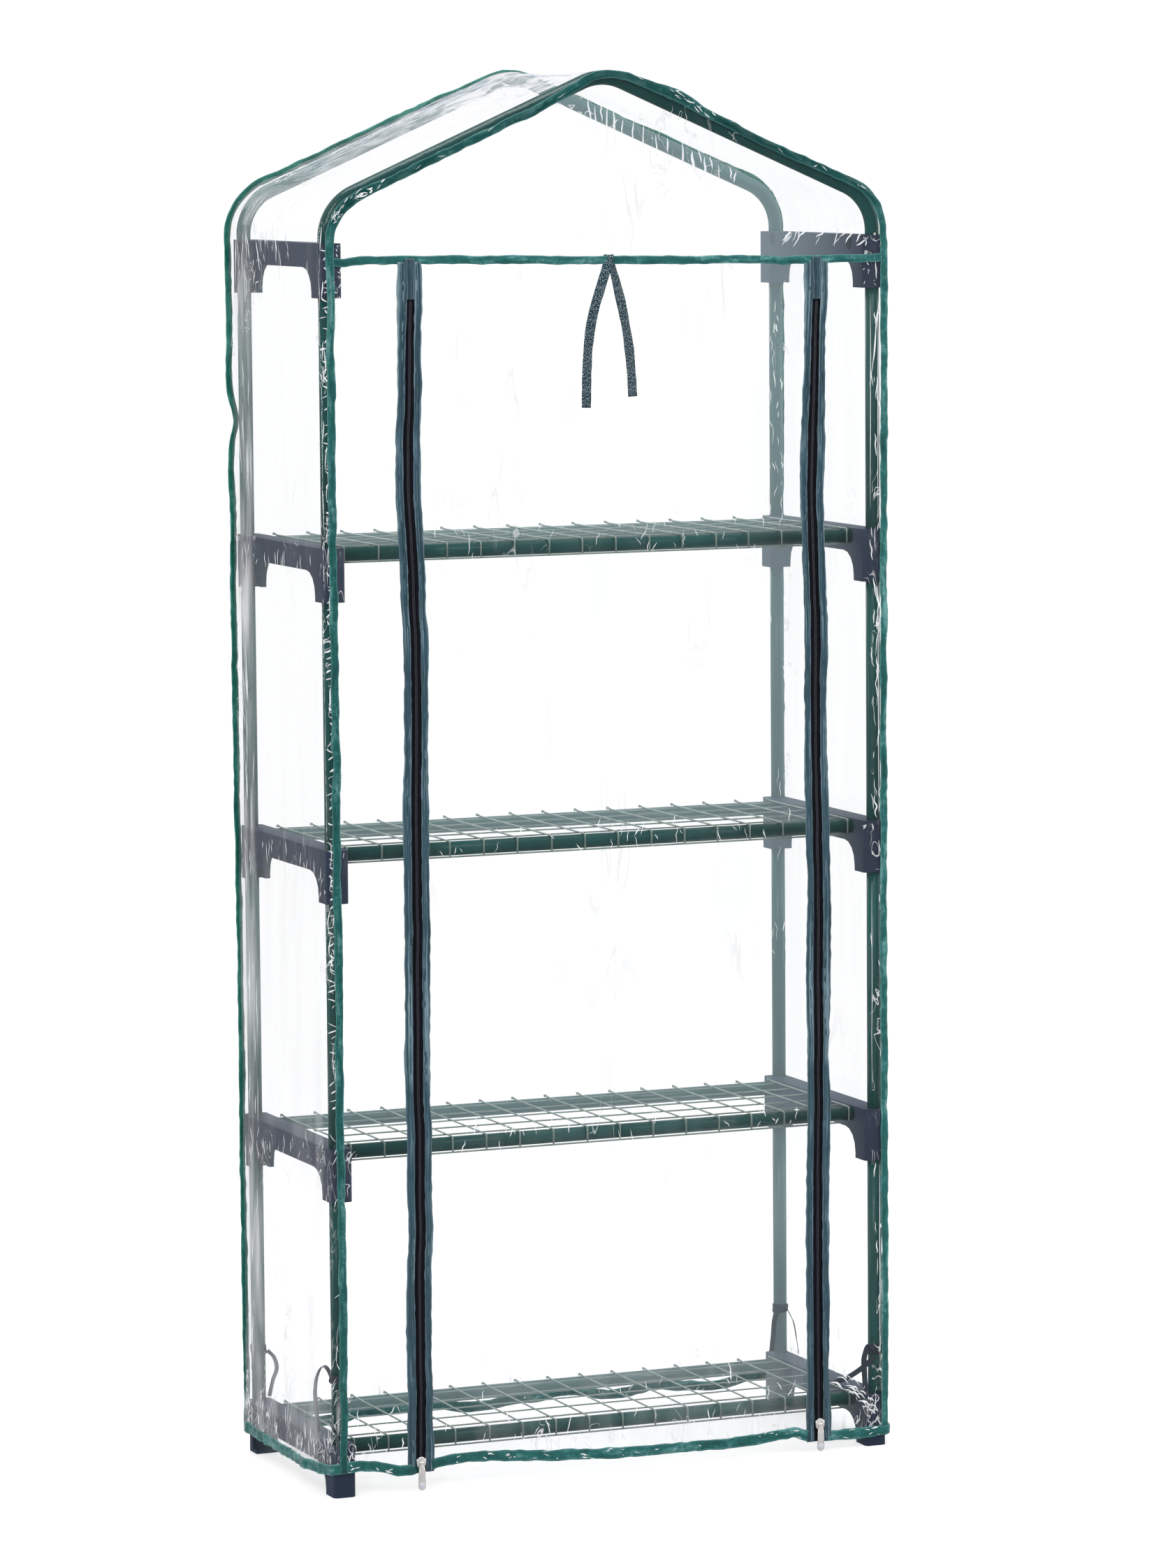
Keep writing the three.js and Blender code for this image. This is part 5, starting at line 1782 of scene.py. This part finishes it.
def studio_world():
    """Soft gradient for lighting, plain white for the camera."""
    world = bpy.data.worlds.new("studio")
    bpy.context.scene.world = world
    world.use_nodes = True
    g = Graph(world.node_tree)
    output = g.node("OutputWorld")
    up = g.node("SeparateXYZ", g.node("TexCoord").outputs["Generated"]).outputs[2]
    height = g.node("MapRange", Value=up, From_Min=-1, From_Max=1).outputs[0]
    sky = g.ramp(height, (0.35, (0.60, 0.60, 0.62, 1)), (0.85, (1.1, 1.1, 1.12, 1)))
    light = g.shader("Background", Color=sky, Strength=0.75)
    backdrop = g.shader("Background", Color=(1, 1, 1, 1), Strength=1.07)
    g.put(output.inputs[0], g.mix_shader(g.camera_ray(), light, backdrop))


# name, place, height of the point aimed at on the z axis, width, height, radiance
LIGHTS = [
    ("key_softbox", (-2.4, -3.4, 3.6), 0.9, 1.8, 1.8, 5.4),
    ("strip_left", (-3.6, 0.9, 1.0), 0.9, 0.30, 3.0, 11.0),
    ("strip_right", (3.4, -0.7, 1.0), 0.9, 0.30, 3.0, 11.0),
    ("fill_right", (3.0, -2.8, 3.0), 0.8, 1.6, 1.6, 2.4),
    ("top_soft", (0.2, -0.4, 4.4), 0.8, 2.4, 2.4, 3.0),
    ("back_soft", (-0.6, 4.0, 3.0), 0.9, 2.2, 2.2, 2.4)]


def area_light(name, place, aim_z, width, height, radiance):
    light = bpy.data.lights.new(name, "AREA")
    light.shape = "RECTANGLE"
    light.size, light.size_y = width, height
    light.energy = radiance * math.pi * width * height
    obj = bpy.data.objects.new(name, light)
    obj.location = place
    direction = Vector((0, 0, aim_z)) - Vector(place)
    obj.rotation_euler = direction.to_track_quat("-Z", "Y").to_euler()
    bpy.context.scene.collection.objects.link(obj)
    obj.visible_camera = False


def camera_and_view():
    """The camera looks from the front left, from about the height of the roof."""
    camera = bpy.data.cameras.new("camera")
    camera.lens, camera.sensor_width = 143.0405, 36.0
    camera.clip_start, camera.clip_end = 0.05, 200.0
    obj = bpy.data.objects.new("camera", camera)
    scene = bpy.context.scene
    scene.collection.objects.link(obj)
    obj.matrix_world = Matrix((
        (0.92235403, -0.38626652, -0.00782375, 0),      # right
        (0.04869509, 0.09614069, 0.99417592, 0),        # up
        (-0.38326469, -0.91736315, 0.10748504, 0),      # backwards
        (-2.72623, -6.56908, 1.54349, 1))).transposed()
    scene.camera = obj
    scene.view_settings.view_transform = "Standard"
    scene.view_settings.look = "None"
    scene.view_settings.exposure = 0.0
    scene.cycles.transparent_max_bounces = 24


studio_floor()
studio_world()
for light_row in LIGHTS:
    area_light(*light_row)
camera_and_view()
